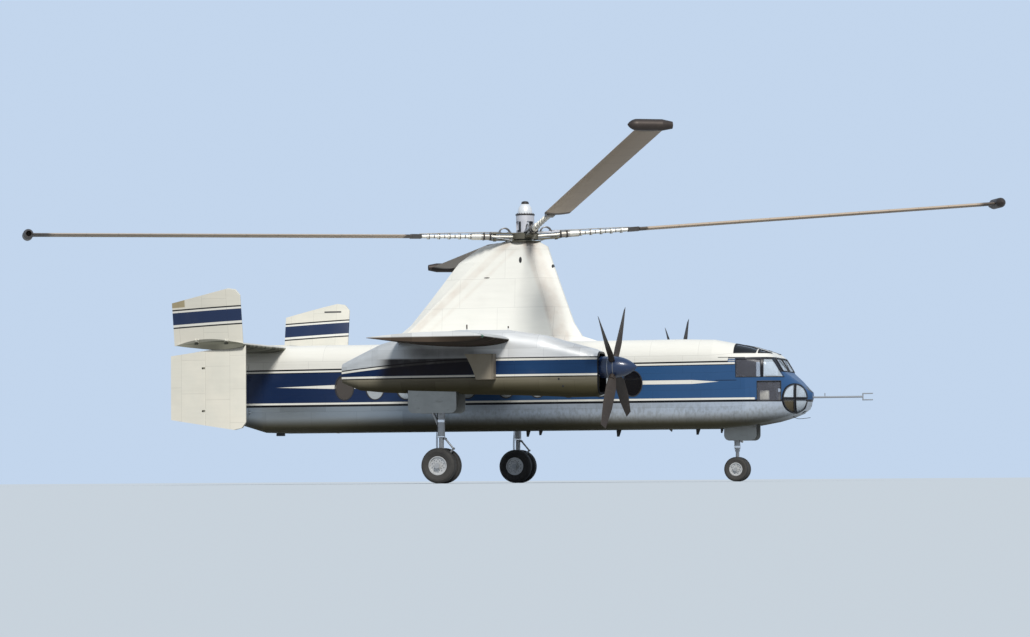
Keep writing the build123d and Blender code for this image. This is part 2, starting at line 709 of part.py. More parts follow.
def tail():
    """Tailplane with elevators, and the lower and upper fin on each side."""
    plane = Plane(origin=(TAIL_LE_X, 0, above_belly(TAIL_H)), x_dir=(1, 0, 0), z_dir=(0, -1, 0))
    half = extrude(plane * blade_section(TAIL_CHORD, TAIL_T, 14, 0.32), -TAIL_HALF_SPAN)
    y0, y1 = ELEVATOR_Y
    hinge_x = TAIL_LE_X - ELEVATOR_SHARE * TAIL_CHORD
    frame = Plane(
        origin=(hinge_x, 0, above_belly(TAIL_H)), x_dir=(-1, 0, 0), z_dir=(0, 1, 0)
    ).location
    stations = [y0 + k * (y1 - y0) for k in (0.15, 0.85)]
    full = half + mirror_y(half)
    half, elevator = split_surface(
        half, frame, ELEVATOR_NOSE_R, HINGE_GAP, y0, y1, stations, 2 * ELEVATOR_NOSE_R
    )
    parts["elevator_left"] = elevator
    parts["elevator_right"] = mirror_y(elevator)
    outline = [(x, above_belly(h)) for x, h in LOWER_FIN]
    side = extrude(Plane.XZ * make_face(Polyline(*outline, close=True)), 9000, both=True)
    base = Plane(origin=(LOWER_FIN[0][0], FIN_Y, 0), x_dir=(1, 0, 0), z_dir=(0, 0, 1))
    chord = LOWER_FIN[0][0] - LOWER_FIN_TE_X
    fin = extrude(base * blade_section(chord, FIN_T, 16, 0.32), above_belly(3000)) & side
    fin = fin - full
    rudder_frame = Plane(
        origin=(RUDDER_X, FIN_Y, 0), x_dir=(-1, 0, 0), z_dir=(0, 0, 1)
    ).location
    stations = [above_belly(h) for h in RUDDER_HINGES_H]
    fin, rudder = split_surface(
        fin, rudder_frame, RUDDER_NOSE_R, HINGE_GAP, 0, 9000, stations, 2 * RUDDER_NOSE_R
    )
    fin = fin.solids().sort_by(SortBy.VOLUME)[-1]
    parts["lower_fins"] = Compound([fin, mirror_y(fin)])
    parts["rudder_left"] = rudder
    parts["rudder_right"] = mirror_y(rudder)
    envelope = Plane(
        origin=(TAIL_LE_X + SEAT_GAP, 0, above_belly(TAIL_H)), x_dir=(1, 0, 0), z_dir=(0, -1, 0)
    )
    near = blade_section(TAIL_CHORD + 2 * SEAT_GAP, TAIL_T + 2 * SEAT_GAP, 14, 0.32)
    near = extrude(envelope * near, -TAIL_HALF_SPAN - 900)
    outline = [(x, h) for x, h in UPPER_FIN]
    side = extrude(Plane.XZ * make_face(Polyline(*outline, close=True)), 900, both=True)
    chord = UPPER_FIN[0][0] - UPPER_FIN_TE_X
    upper = Pos(UPPER_FIN[0][0], 0, -200) * extrude(blade_section(chord, FIN_T, 16, 0.32), 3000)
    upper = upper & side
    upper = Pos(0, FIN_Y + 60, above_belly(TAIL_H)) * Rot(-FIN_CANT, 0, 0) * upper
    upper = upper - near - block(-9999, 0, 0, 9000, 0, above_belly(TAIL_H))
    upper = upper.solids().sort_by(SortBy.VOLUME)[-1]
    hinge = Plane(
        origin=(0, TAIL_HALF_SPAN + FIN_PIN_OUT, above_belly(TAIL_H) + FIN_PIN_UP),
        x_dir=(0, 1, 0),
        z_dir=(1, 0, 0),
    ).location
    eyes, pairs = knuckles(hinge, FIN_HINGES_X, (-FIN_PIN_OUT - 40, -FIN_PIN_UP + 30), (-70, 110))
    half = fuse(half, eyes)
    upper = fuse(upper, pairs)
    low, high = (above_belly(TAIL_H + sign * (TAIL_T / 2 + SADDLE_OVER)) for sign in (-1, 1))
    x0, x1 = TAIL_LE_X - TAIL_CHORD - SADDLE_OVER, TAIL_LE_X + SADDLE_OVER
    saddle = block(x0, x1, -SADDLE_HALF, SADDLE_HALF, low, high)
    full = full + saddle
    parts["tailplane"] = half + mirror_y(half) + saddle
    parts["upper_fin_left"] = upper
    parts["upper_fin_right"] = mirror_y(upper)
    for name in ("fuselage_roof", "tail_cone"):
        parts[name] = parts[name] - full


def wheel(radius, width, rim_r, bore_r):
    """A tyre and its hub about the Y axis."""
    half = width / 2
    shoulder = 0.22 * width
    tread = Polyline(
        (rim_r, -half * 0.82), (radius - 1.7 * shoulder, -half), (radius - shoulder, -half * 0.97),
        (radius - 0.25 * shoulder, -half * 0.72), (radius, -half * 0.35),
        (radius, half * 0.35), (radius - 0.25 * shoulder, half * 0.72),
        (radius - shoulder, half * 0.97), (radius - 1.7 * shoulder, half), (rim_r, half * 0.82),
        close=True,
    )
    tyre = revolve(make_face(tread), Axis.Y)
    hub = Rot(90, 0, 0) * Cylinder(rim_r, 1.64 * half)
    for sign in (-1, 1):
        dish = Pos(0, sign * half * 0.82, 0) * Rot(90, 0, 0)
        hub = hub - dish * (Cylinder(rim_r - 25, 0.6 * half) - Cylinder(bore_r + 45, 0.6 * half))
    hub = hub - Rot(90, 0, 0) * Cylinder(bore_r, 3 * half)
    return tyre, hub


def hung_door(x0, x1, y0, y1, z0, z1):
    """A gear door that hangs open, with its two low corners rounded."""
    door = block(x0, x1, y0, y1, z0, z1)
    low = door.edges().filter_by(Axis.Y).group_by(Axis.Z)[0]
    return fillet(low, GEAR_DOOR_CORNER)


def landing_gear(bay_ceiling):
    """Main legs under the nacelles, the steered nose leg, their wheels and doors."""
    legs, leg_doors = [], []
    axle_z = MAIN_TYRE_R
    top = bay_ceiling
    x, y = MAIN_GEAR_X, NACELLE_Y
    leg = Pos(x, y, (top + MAIN_SLEEVE_Z) / 2) * Cylinder(MAIN_LEG_R, top - MAIN_SLEEVE_Z)
    leg = leg + Pos(x, y, (MAIN_SLEEVE_Z + axle_z) / 2) * Cylinder(
        MAIN_PISTON_R, MAIN_SLEEVE_Z - axle_z
    )
    reach = MAIN_WHEEL_Y + MAIN_TYRE_W / 2 + 25
    leg = leg + Pos(x, y, axle_z) * Rot(90, 0, 0) * Cylinder(MAIN_AXLE_R, 2 * reach)
    leg = leg + Pos(x, y, axle_z) * Rot(90, 0, 0) * Cylinder(MAIN_AXLE_R + 45, 150)
    leg = leg + rod((x - 60, y, MAIN_SLEEVE_Z + 250), (WHEEL_BAY_X[0] + 60, y, top), 38)
    knee = (x + 330, y, (MAIN_SLEEVE_Z + axle_z) / 2 + 60)
    leg = leg + rod((x, y, MAIN_SLEEVE_Z + 60), knee, 24) + rod(knee, (x, y, axle_z + 60), 24)
    caps = [
        Pos(x, y + sign * (reach + 8), axle_z) * Rot(90, 0, 0) * Cylinder(MAIN_AXLE_R + 22, 16)
        for sign in (-1, 1)
    ]
    leg = fuse(leg, caps) & block(-9000, 9000, 0, 9000, 0, top)
    parts["main_gear_legs"] = Compound([leg, mirror_y(leg)])
    tyre, hub = wheel(MAIN_TYRE_R, MAIN_TYRE_W, MAIN_RIM_R, MAIN_AXLE_R + SHAFT_FIT)
    for side, name in ((1, "left"), (-1, "right")):
        places = [Pos(x, side * y + s * MAIN_WHEEL_Y, axle_z) for s in (-1, 1)]
        parts["main_tyres_" + name] = Compound([p * tyre for p in places])
        parts["main_hubs_" + name] = Compound([p * hub for p in places])
    bay_x0, bay_x1 = WHEEL_BAY_X
    edge = WHEEL_BAY_HALF
    for sign in (-1, 1):
        ys = sorted((y + sign * edge, y + sign * (edge - GEAR_DOOR_T)))
        leg_doors.append(
            hung_door(bay_x0 + 60, bay_x1 - 60, *ys, above_belly(430), above_belly(1090))
        )
    x = NOSE_GEAR_X
    half_bay = NOSE_BAY_HALF
    bay = block(x - NOSE_BAY_AFT, x + NOSE_BAY_FRONT, -half_bay, half_bay, 0, above_belly(NOSE_BAY_TOP_H))
    parts["nose_belly"] = parts["nose_belly"] - bay
    for sign in (-1, 1):
        ys = sorted((sign * half_bay, sign * (half_bay - GEAR_DOOR_T)))
        leg_doors.append(
            hung_door(x - NOSE_BAY_AFT + 40, x + NOSE_BAY_FRONT - 40, *ys, BELLY_Z - 330, above_belly(110))
        )
    doors_all = leg_doors[:2] + [mirror_y(d) for d in leg_doors[:2]] + leg_doors[2:]
    parts["gear_doors"] = Compound(doors_all)
    top = above_belly(NOSE_BAY_TOP_H)
    leg = Pos(x, 0, (top + NOSE_SLEEVE_Z) / 2) * Cylinder(NOSE_LEG_R, top - NOSE_SLEEVE_Z)
    bore_top = NOSE_SLEEVE_Z + 400
    bore = Pos(x, 0, (bore_top + NOSE_SLEEVE_Z) / 2 - 1)
    leg = leg - bore * Cylinder(NOSE_PISTON_R + SHAFT_FIT, bore_top - NOSE_SLEEVE_Z + 2)
    brace = rod((x - 40, 0, NOSE_SLEEVE_Z + 330), (x - NOSE_BAY_AFT + 50, 0, top), 30)
    bore_clear = Pos(x, 0, NOSE_SLEEVE_Z + 330) * Cylinder(NOSE_PISTON_R + SHAFT_FIT, 700)
    brace = brace - bore_clear
    parts["nose_gear_leg"] = (leg + brace) & block(0, 9000, -900, 900, 0, top)
    axle_z = NOSE_TYRE_R
    piston_top = bore_top - 20
    fork = Pos(x, 0, (piston_top + axle_z) / 2) * Cylinder(NOSE_PISTON_R, piston_top - axle_z)
    fork = fork + Pos(x, 0, NOSE_SLEEVE_Z - 30) * Cylinder(NOSE_PISTON_R + 18, 46)
    reach = NOSE_WHEEL_Y + NOSE_TYRE_W / 2 + 20
    fork = fork + Pos(x, 0, axle_z) * Rot(90, 0, 0) * Cylinder(NOSE_AXLE_R, 2 * reach)
    fork = fork + Pos(x, 0, axle_z) * Rot(90, 0, 0) * Cylinder(NOSE_AXLE_R + 30, 96)
    for sign in (-1, 1):
        end = Pos(x, sign * (reach + 7), axle_z) * Rot(90, 0, 0)
        fork = fork + end * Cylinder(NOSE_AXLE_R + 16, 14)
    parts["nose_fork"] = fork
    tyre, hub = wheel(NOSE_TYRE_R, NOSE_TYRE_W, NOSE_RIM_R, NOSE_AXLE_R + SHAFT_FIT)
    places = [Pos(x, s * NOSE_WHEEL_Y, axle_z) for s in (-1, 1)]
    parts["nose_tyres"] = Compound([p * tyre for p in places])
    parts["nose_hubs"] = Compound([p * hub for p in places])


def cockpit(room):
    """Floor, bulkhead, instrument panel and seats, seen through the nose glazing."""
    floor = above_belly(FLOOR_H)
    bulkhead = room & block(CABIN_FRONT_X - 40, CABIN_FRONT_X, -2000, 2000, floor, 9000)
    bulkhead = bulkhead - block(CABIN_FRONT_X - 50, CABIN_FRONT_X + 10, -340, 340, 0, floor + 1800)
    deck = block(CABIN_FRONT_X - 20, 6600, -1000, 1000, floor, floor + 150)
    deck = deck - block(CABIN_FRONT_X - 50, CABIN_FRONT_X + 200, -340, 340, 0, floor + 1800)
    deck_z = floor + 150
    stand = block(6560, 7000, -160, 160, floor + 60, above_belly(1330))
    panel = block(6920, 7010, -820, 820, above_belly(1080), above_belly(1400))
    pieces = deck + block(6500, 7000, -160, 160, floor + 60, deck_z) + stand + panel
    parts["cockpit_fittings"] = bulkhead + pieces
    seats = []
    for sign in (-1, 1):
        y = sign * 470
        base = block(6000, 6300, y - 130, y + 130, deck_z, deck_z + 330)
        pan = block(5930, 6420, y - 235, y + 235, deck_z + 330, deck_z + 440)
        back = block(5880, 5990, y - 235, y + 235, deck_z + 330, deck_z + 1080)
        seats.append(base + pan + back)
    parts["cockpit_seats"] = Compound(seats)


def small_parts():
    """The nose boom and the aerials under the belly and chin."""
    nose_x = FUSELAGE[0][0]
    tube_z = above_belly(815)
    boom = rod((nose_x - 100, 0, tube_z), (PROBE_FORK_X, 0, tube_z), 26)
    boom = boom + rod((PROBE_FORK_X, 0, tube_z - 85), (PROBE_FORK_X, 0, tube_z + 85), 16)
    for sign in (-1, 1):
        prong_z = tube_z + sign * 85
        boom = boom + rod((PROBE_FORK_X - 16, 0, prong_z), (PROBE_TIP_X, 0, prong_z), 15)
    boom = boom + rod((nose_x + 320, 0, tube_z), (nose_x + 320, 0, tube_z + 110), 12)
    parts["nose_probe"] = boom - parts["nose_shell"]
    parts["nose_probe"] = parts["nose_probe"].solids().sort_by(SortBy.VOLUME)[-1]
    aerials = []
    for x, length, drop in BELLY_AERIALS:
        corners = [(x, 10), (x - length, 10), (x - 0.9 * length, -drop), (x - 0.45 * length, -drop)]
        face = make_face(Polyline(*[(a, above_belly(h)) for a, h in corners], close=True))
        blade = extrude(Plane.XZ * face, 9, both=True)
        aerials.append(blade - parts["fuselage_belly"] - parts["nose_belly"])
    bumper = Pos(-7130, 0, BELLY_Z - 40) * Box(220, 120, 80)
    aerials.append(bumper)
    parts["belly_aerials"] = Compound(aerials)


def build():
    """Makes every piece and writes one file for each."""
    left, tail_shell, room = fuselage()
    doors(left, tail_shell)
    wing_solid = wing()
    parts["fuselage_roof"] = parts["fuselage_roof"] - wing_solid
    ceiling = nacelle(wing_solid)
    propeller()
    pylon(wing_solid)
    rotor()
    tail()
    landing_gear(ceiling)
    cockpit(room)
    small_parts()
    os.makedirs("parts", exist_ok=True)
    for name, shape in parts.items():
        solids = shape.solids()
        shape = solids[0] if len(solids) == 1 else Compound(list(solids))
        shape.label = name
        export_step(shape, "parts/" + name + ".step")


build()
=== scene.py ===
"""The look of a gyrodyne: a compound rotorcraft aeroplane on its wheels, in a plain pale studio."""

import math

import bmesh
import bpy
from mathutils import Matrix, Vector
from mathutils.bvhtree import BVHTree


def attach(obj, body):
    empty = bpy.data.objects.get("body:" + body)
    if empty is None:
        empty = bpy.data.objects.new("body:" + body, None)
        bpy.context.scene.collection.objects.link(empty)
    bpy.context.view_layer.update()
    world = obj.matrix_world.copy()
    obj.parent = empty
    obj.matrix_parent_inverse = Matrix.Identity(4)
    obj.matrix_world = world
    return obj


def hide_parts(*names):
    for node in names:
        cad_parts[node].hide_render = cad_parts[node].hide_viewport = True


bl_info = {
    "name": "Gyrodyne Dresser",
    "version": (1, 0, 0),
    "blender": (4, 5, 0),
    "location": "View3D > Sidebar > Gyrodyne",
    "description": "Paints a gyrodyne's frame, adds its fittings and lights it in a studio",
    "category": "Object",
}

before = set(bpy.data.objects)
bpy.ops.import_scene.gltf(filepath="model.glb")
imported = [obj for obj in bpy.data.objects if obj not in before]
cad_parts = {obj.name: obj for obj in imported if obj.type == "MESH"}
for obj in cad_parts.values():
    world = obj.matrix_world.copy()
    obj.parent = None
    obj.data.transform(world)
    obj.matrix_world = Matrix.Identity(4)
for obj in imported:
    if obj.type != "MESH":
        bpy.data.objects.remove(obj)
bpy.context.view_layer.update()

# Metres in the frame of the CAD. Heights of the livery are above the belly.
BELLY = 1.43
CABIN_AXIS = BELLY + 1.2
ROTOR_HEIGHT = BELLY + 5.33
BLADE_BEARING = 25.7
BLADE_FLAPS = (4.3, 7.5, -0.1, -0.2)
BLADE_DRAGS = (0.0, 2.3, 0.0, 0.0)
DRUM_OPENING = math.radians(-28)
NACELLE_Y = 3.8
PROP_X = 3.42
PROP_Z = BELLY + 1.585
MAIN_GEAR_X = -1.3
NOSE_GEAR_X = 5.9
WINDOW_MIDDLES = (-4.80, -3.92, -3.04, -2.16, -1.28, -0.19, 0.69, 1.57, 2.45, 3.33)
SIDES = ((1, "left"), (-1, "right"))
SEAT_Y = 0.47

# The riveted skin, in metres; the stagger is a share of a sheet's length.
SHEET_STAGGER = 0.5
JOINT_WIDTH = 0.006
RIVET_PITCH = 0.05
RIVET_INSET = 0.022
RIVET_RADIUS = 0.007

MAST_BROWN = (0.06, 0.045, 0.035, 1.0)


def node(tree, kind, inputs=None, **settings):
    """A node with its settings and inputs; an input is a value or another node's socket."""
    made = tree.nodes.new(kind)
    for name, value in settings.items():
        setattr(made, name, value)
    for key, value in (inputs or {}).items():
        socket = made.inputs[key]
        if isinstance(value, bpy.types.NodeSocket):
            tree.links.new(value, socket)
        else:
            socket.default_value = value
    return made


def calc(tree, operation, a, b=0.0, c=0.0, clamp=False):
    """A Math node's result."""
    made = node(tree, "ShaderNodeMath", {0: a, 1: b, 2: c}, operation=operation, use_clamp=clamp)
    return made.outputs[0]


def over(tree, value, edge, soft=0.004):
    """1 where value is above edge, with a soft step."""
    if isinstance(edge, bpy.types.NodeSocket):
        value, edge = calc(tree, "SUBTRACT", value, edge), 0.0
    made = node(
        tree,
        "ShaderNodeMapRange",
        {"Value": value, "From Min": edge - soft, "From Max": edge + soft},
        interpolation_type="SMOOTHSTEP",
    )
    return made.outputs["Result"]


def blend(tree, share, first, second, mode="MIX"):
    """A colour that goes from first to second by share."""
    inputs = {0: share, 6: first, 7: second}
    return node(tree, "ShaderNodeMix", inputs, data_type="RGBA", blend_type=mode).outputs[2]


def rgb(r, g, b):
    return (r, g, b, 1.0)


def new_group(name, inputs, outputs):
    """An empty node group with named sockets: (name, kind, default)."""
    tree = bpy.data.node_groups.new(name, "ShaderNodeTree")
    for label, kind, default in inputs:
        socket = tree.interface.new_socket(label, in_out="INPUT", socket_type="NodeSocket" + kind)
        if default is not None:
            socket.default_value = default
    for label, kind in outputs:
        tree.interface.new_socket(label, in_out="OUTPUT", socket_type="NodeSocket" + kind)
    return tree, tree.nodes.new("NodeGroupInput").outputs, tree.nodes.new("NodeGroupOutput").inputs


def skin_panels_group():
    """Riveted sheets: lap joints on a grid, rows of rivets beside them, and a tone for each sheet."""
    tree, given, gives = new_group(
        "Skin Panels",
        [
            ("Along", "Float", 0.0), ("Up", "Float", 0.0), ("Sheet Length", "Float", 1.2),
            ("Sheet Height", "Float", 0.5),
        ],
        [("Joint", "Float"), ("Tone", "Float"), ("Height", "Float")],
    )
    row = calc(tree, "DIVIDE", given["Up"], given["Sheet Height"])
    row_number = calc(tree, "FLOOR", row)
    shift = calc(tree, "FRACT", calc(tree, "MULTIPLY", row_number, 0.37))
    shift = calc(tree, "MULTIPLY", shift, SHEET_STAGGER)
    column = calc(tree, "ADD", calc(tree, "DIVIDE", given["Along"], given["Sheet Length"]), shift)
    column_number = calc(tree, "FLOOR", column)

    def reach(share, size):
        """Distance from the nearest joint, in metres."""
        inside = calc(tree, "FRACT", share)
        near = calc(tree, "MINIMUM", inside, calc(tree, "SUBTRACT", 1.0, inside))
        return calc(tree, "MULTIPLY", near, size)

    from_side = reach(column, given["Sheet Length"])
    from_edge = reach(row, given["Sheet Height"])
    nearest = calc(tree, "MINIMUM", from_side, from_edge)
    joint = calc(tree, "DIVIDE", nearest, JOINT_WIDTH)
    joint = calc(tree, "SUBTRACT", 1.0, joint, clamp=True)
    rivet = None
    for away, line in ((from_side, given["Up"]), (from_edge, given["Along"])):
        step = calc(tree, "SUBTRACT", calc(tree, "FRACT", calc(tree, "DIVIDE", line, RIVET_PITCH)), 0.5)
        step = calc(tree, "MULTIPLY", step, RIVET_PITCH)
        off = calc(tree, "SUBTRACT", away, RIVET_INSET)
        far = calc(tree, "MULTIPLY_ADD", step, step, calc(tree, "MULTIPLY", off, off))
        far = calc(tree, "SQRT", far)
        dot = calc(tree, "SUBTRACT", 1.0, calc(tree, "DIVIDE", far, RIVET_RADIUS), clamp=True)
        rivet = dot if rivet is None else calc(tree, "MAXIMUM", rivet, dot)
    spot = node(tree, "ShaderNodeCombineXYZ", {"X": column_number, "Y": row_number})
    tone = node(tree, "ShaderNodeTexWhiteNoise", {"Vector": spot.outputs[0]}, noise_dimensions="2D")
    height = calc(tree, "SUBTRACT", calc(tree, "MULTIPLY", rivet, 0.5), joint)
    for label, value in (("Joint", joint), ("Tone", tone.outputs["Value"]), ("Height", height)):
        tree.links.new(value, gives[label])
    return tree


def weathering_group():
    """Stains on a skin: soft blotches, streaks that run one way, and fine speckle."""
    tree, given, gives = new_group(
        "Weathering",
        [("Position", "Vector", None), ("Blotch Size", "Float", 1.0), ("Streak Stretch", "Float", 8.0)],
        [("Blotch", "Float"), ("Streak", "Float"), ("Speckle", "Float")],
    )
    place = given["Position"]
    scale = calc(tree, "DIVIDE", 1.0, given["Blotch Size"])
    blotch = node(
        tree, "ShaderNodeTexNoise", {"Vector": place, "Scale": scale, "Detail": 4.0, "Roughness": 0.6}
    )
    x, y, z = node(tree, "ShaderNodeSeparateXYZ", {0: place}).outputs
    x = calc(tree, "DIVIDE", x, given["Streak Stretch"])
    drawn = node(tree, "ShaderNodeCombineXYZ", {"X": x, "Y": y, "Z": z}).outputs[0]
    streak = node(
        tree, "ShaderNodeTexNoise", {"Vector": drawn, "Scale": 9.0, "Detail": 3.0, "Roughness": 0.55}
    )
    speckle = node(tree, "ShaderNodeTexNoise", {"Vector": place, "Scale": 60.0, "Detail": 2.0})
    for label, made in (("Blotch", blotch), ("Streak", streak), ("Speckle", speckle)):
        tree.links.new(made.outputs[0], gives[label])
    return tree


PANELS = skin_panels_group()
WEATHER = weathering_group()


class Finish:
    """A material being made: its tree, its shader, the place on the object and the colour so far."""

    def __init__(self, name, **shader):
        self.material = bpy.data.materials.new(name)
        self.material.use_nodes = True
        self.tree = self.material.node_tree
        self.shader = self.tree.nodes["Principled BSDF"]
        for key, value in shader.items():
            self.shader.inputs[key.replace("_", " ")].default_value = value
        self.colour = None
        coords = node(self.tree, "ShaderNodeTexCoord").outputs
        self.place = coords["Object"]
        self.x, self.y, self.z = node(self.tree, "ShaderNodeSeparateXYZ", {0: self.place}).outputs
        self.faces = node(self.tree, "ShaderNodeSeparateXYZ", {0: coords["Normal"]}).outputs

    def calc(self, *args, **kw):
        return calc(self.tree, *args, **kw)

    def minus(self, a, b):
        return calc(self.tree, "SUBTRACT", a, b)

    def most(self, a, b):
        return calc(self.tree, "MAXIMUM", a, b)

    def times(self, a, b):
        """The product; of two plain numbers it is a plain number."""
        if isinstance(a, (int, float)) and isinstance(b, (int, float)):
            return a * b
        return calc(self.tree, "MULTIPLY", a, b)

    def plus(self, a, b):
        """The sum; of two plain numbers it is a plain number."""
        if isinstance(a, (int, float)) and isinstance(b, (int, float)):
            return a + b
        return calc(self.tree, "ADD", a, b)

    def over(self, *args):
        return over(self.tree, *args)

    def under(self, *args):
        return calc(self.tree, "SUBTRACT", 1.0, over(self.tree, *args))

    def between(self, value, low, high, soft=0.004):
        """1 where value lies between low and high."""
        return self.times(self.over(value, low, soft), self.under(value, high, soft))

    def blend(self, *args):
        return blend(self.tree, *args)

    def lay(self, mask, shade):
        """Covers the colour with another, or with the livery's by name, where the mask is 1."""
        shade = paint(shade) if isinstance(shade, str) else shade
        self.colour = self.blend(mask, self.colour, shade)

    def noise(self, scale, detail=3.0):
        return node(
            self.tree, "ShaderNodeTexNoise", {"Vector": self.place, "Scale": scale, "Detail": detail}
        ).outputs[0]

    def feed(self, **sockets):
        """Links values to the shader's sockets; a plain number is set on the socket."""
        for key, value in sockets.items():
            socket = self.shader.inputs[key.replace("_", " ")]
            if isinstance(value, (int, float)):
                socket.default_value = value
            else:
                self.tree.links.new(value, socket)

    def bump(self, height, distance, strength=1.0, below=None):
        inputs = {"Height": height, "Distance": distance, "Strength": strength}
        if below is not None:
            inputs["Normal"] = below
        return node(self.tree, "ShaderNodeBump", inputs).outputs["Normal"]

    def group(self, source, inputs):
        """A group node with its own values."""
        return node(self.tree, "ShaderNodeGroup", inputs, node_tree=source).outputs

    def height(self):
        """The height above the belly."""
        return self.minus(self.z, BELLY)

    def speckled(self, speckle, rough, depth=0.0006):
        """Feeds the colour with a speckled roughness and fine bumps, and gives the material."""
        rough = self.calc("MULTIPLY_ADD", speckle, 0.2, rough)
        self.feed(Base_Color=self.colour, Roughness=rough, Normal=self.bump(speckle, depth, 0.5))
        return self.material

    def weather(self, blotch=1.0, stretch=8.0):
        inputs = {"Position": self.place, "Blotch Size": blotch, "Streak Stretch": stretch}
        return self.group(WEATHER, inputs)

    def inside(self, *centre, soft=0.04):
        """1 on faces that look towards a centre, given in X, Y and Z; None leaves a direction out."""
        total = None
        for face, here, middle in zip(self.faces, (self.x, self.y, self.z), centre):
            if middle is not None:
                part = self.times(face, self.minus(here, middle))
                total = part if total is None else self.calc("ADD", total, part)
        return self.under(total, -2 * soft, soft)

    def beside(self, distance):
        """The Y of the point at a distance from the middle, on this side of the object."""
        return self.times(self.calc("SIGN", self.y), distance)


def riveted(f, metal, along, up, sheet, rough=(0.36, 0.34), stain=0.10, gloss=0.6, matt=None):
    """Panels, rivets, stains and slight waves; metal and matt are the shares of bare and dull skin."""
    inputs = {"Along": along, "Up": up, "Sheet Length": sheet[0], "Sheet Height": sheet[1]}
    skin = f.group(PANELS, inputs)
    worn = f.weather(1.6, 10.0)
    spread = f.plus(f.times(metal, 0.17), 0.02)
    tone = f.calc("MULTIPLY_ADD", skin["Tone"], spread, 0.94)
    tone = f.times(tone, f.calc("MULTIPLY_ADD", skin["Joint"], -0.30, 1.0))
    tone = f.times(tone, f.calc("MULTIPLY_ADD", worn["Streak"], -stain, 1.0 + stain * 0.45))
    grey = node(f.tree, "ShaderNodeCombineColor", {0: tone, 1: tone, 2: tone}).outputs[0]
    f.colour = f.blend(1.0, f.colour, grey, "MULTIPLY")
    spots = f.times(f.over(worn["Blotch"], 0.64, 0.12), 0.08)
    f.lay(spots, rgb(0.32, 0.29, 0.24))
    base = f.plus(f.times(metal, rough[1] - rough[0]), rough[0] - 0.08)
    roughness = f.calc("MULTIPLY_ADD", worn["Blotch"], 0.16, base)
    if matt is not None:
        roughness = f.calc("MULTIPLY_ADD", matt, 0.45, roughness)
        metal = f.times(metal, f.minus(1.0, matt))
    normal = f.bump(f.noise(1.7, 1.0), 0.018, 0.35)
    normal = f.bump(skin["Height"], 0.0012, 0.8, normal)
    shine = f.times(metal, gloss)
    f.feed(Base_Color=f.colour, Roughness=roughness, Metallic=shine, Normal=normal)
    return f.material


def colour_setting(name, about, value):
    """A colour property."""
    return bpy.props.FloatVectorProperty(
        name=name, description=about, subtype="COLOR", size=3, min=0.0, max=1.0, default=value
    )


def length_setting(name, about, value):
    """A length property, in metres."""
    return bpy.props.FloatProperty(name=name, description=about, default=value, min=0.0, unit="LENGTH")


def number_setting(name, about, value):
    """A plain number."""
    return bpy.props.FloatProperty(name=name, description=about, default=value, min=0.0)


class GYRO_PG_livery(bpy.types.PropertyGroup):
    """Colours and lines of the paint scheme."""

    white: colour_setting("White", "Upper body and pylon", (0.85, 0.845, 0.785))
    # Painted light: a lighter copy of the white, for the pylon in full sun.
    sunlit_pylon_white: colour_setting("Pylon White", "Pylon of the rotor", (0.93, 0.925, 0.86))
    cream: colour_setting("Cream", "Fins", (0.82, 0.79, 0.69))
    blue: colour_setting("Blue", "Band on the body", (0.026, 0.087, 0.215))
    # Deep blue is also painted shade: the body's band turns to it towards the tail, and so do the nacelle bands
    # aft.
    deep_blue: colour_setting("Deep Blue", "Bands of the tail and the nacelles", (0.006, 0.020, 0.070))
    black: colour_setting("Black", "Pinstripes", (0.001, 0.001, 0.003))
    metal: colour_setting("Bare Metal", "Polished sheets", (0.45, 0.49, 0.54))
    bright_metal: colour_setting("Bright Metal", "Upper side of the nacelles", (0.76, 0.76, 0.745))
    wing_metal: colour_setting("Wing Metal", "Upper side of the wing", (0.56, 0.57, 0.56))
    # Painted light: the wing's tip faces are painted lighter than its top.
    lit_wing_tip: colour_setting("Wing Tip", "Tips of the wing", (0.80, 0.81, 0.80))
    # Painted shade: sheets that face the ground are darkened for shade and for the dark ground they reflect, as
    # well as for oil.
    oily_shaded_metal: colour_setting("Dull Metal", "Oily sheets that face the ground", (0.070, 0.062, 0.034))
    # Painted shade: the inner side of the shell is painted near black for the shade inside the cabin.
    inside: colour_setting("Inside", "Bare inner side of the shell", (0.045, 0.048, 0.050))
    blade: colour_setting("Blade", "Rotor blades", (0.54, 0.445, 0.35))
    line_height: length_setting("Line Height", "Upper pinstripe above the belly at the tail", 1.70)
    line_rise: number_setting("Line Rise", "Climb of the upper pinstripe towards the nose", 0.0050)
    line_step: length_setting("Line Step", "Height of the line over the cockpit windows", 1.872)
    stripe: length_setting("Stripe", "Width of a white pinstripe", 0.052)


class GYRO_PG_fittings(bpy.types.PropertyGroup):
    """Sizes of the fittings that are added."""

    window_frame: length_setting("Window Frame", "Width of the frame round each cabin window", 0.028)
    pane_seal: length_setting("Pane Seal", "Radius of the seal round each cockpit pane", 0.013)
    tyre_groove: length_setting("Tyre Groove", "Width of each groove round a tyre", 0.012)
    loop_radius: length_setting("Loop Radius", "Half span of the pipe loops at the rotor head", 0.15)
    pipe_radius: length_setting("Pipe Radius", "Radius of those pipes", 0.017)
    cushion_voxel: length_setting("Cushion Voxel", "Mesh size of the stuffed seat pads", 0.009)


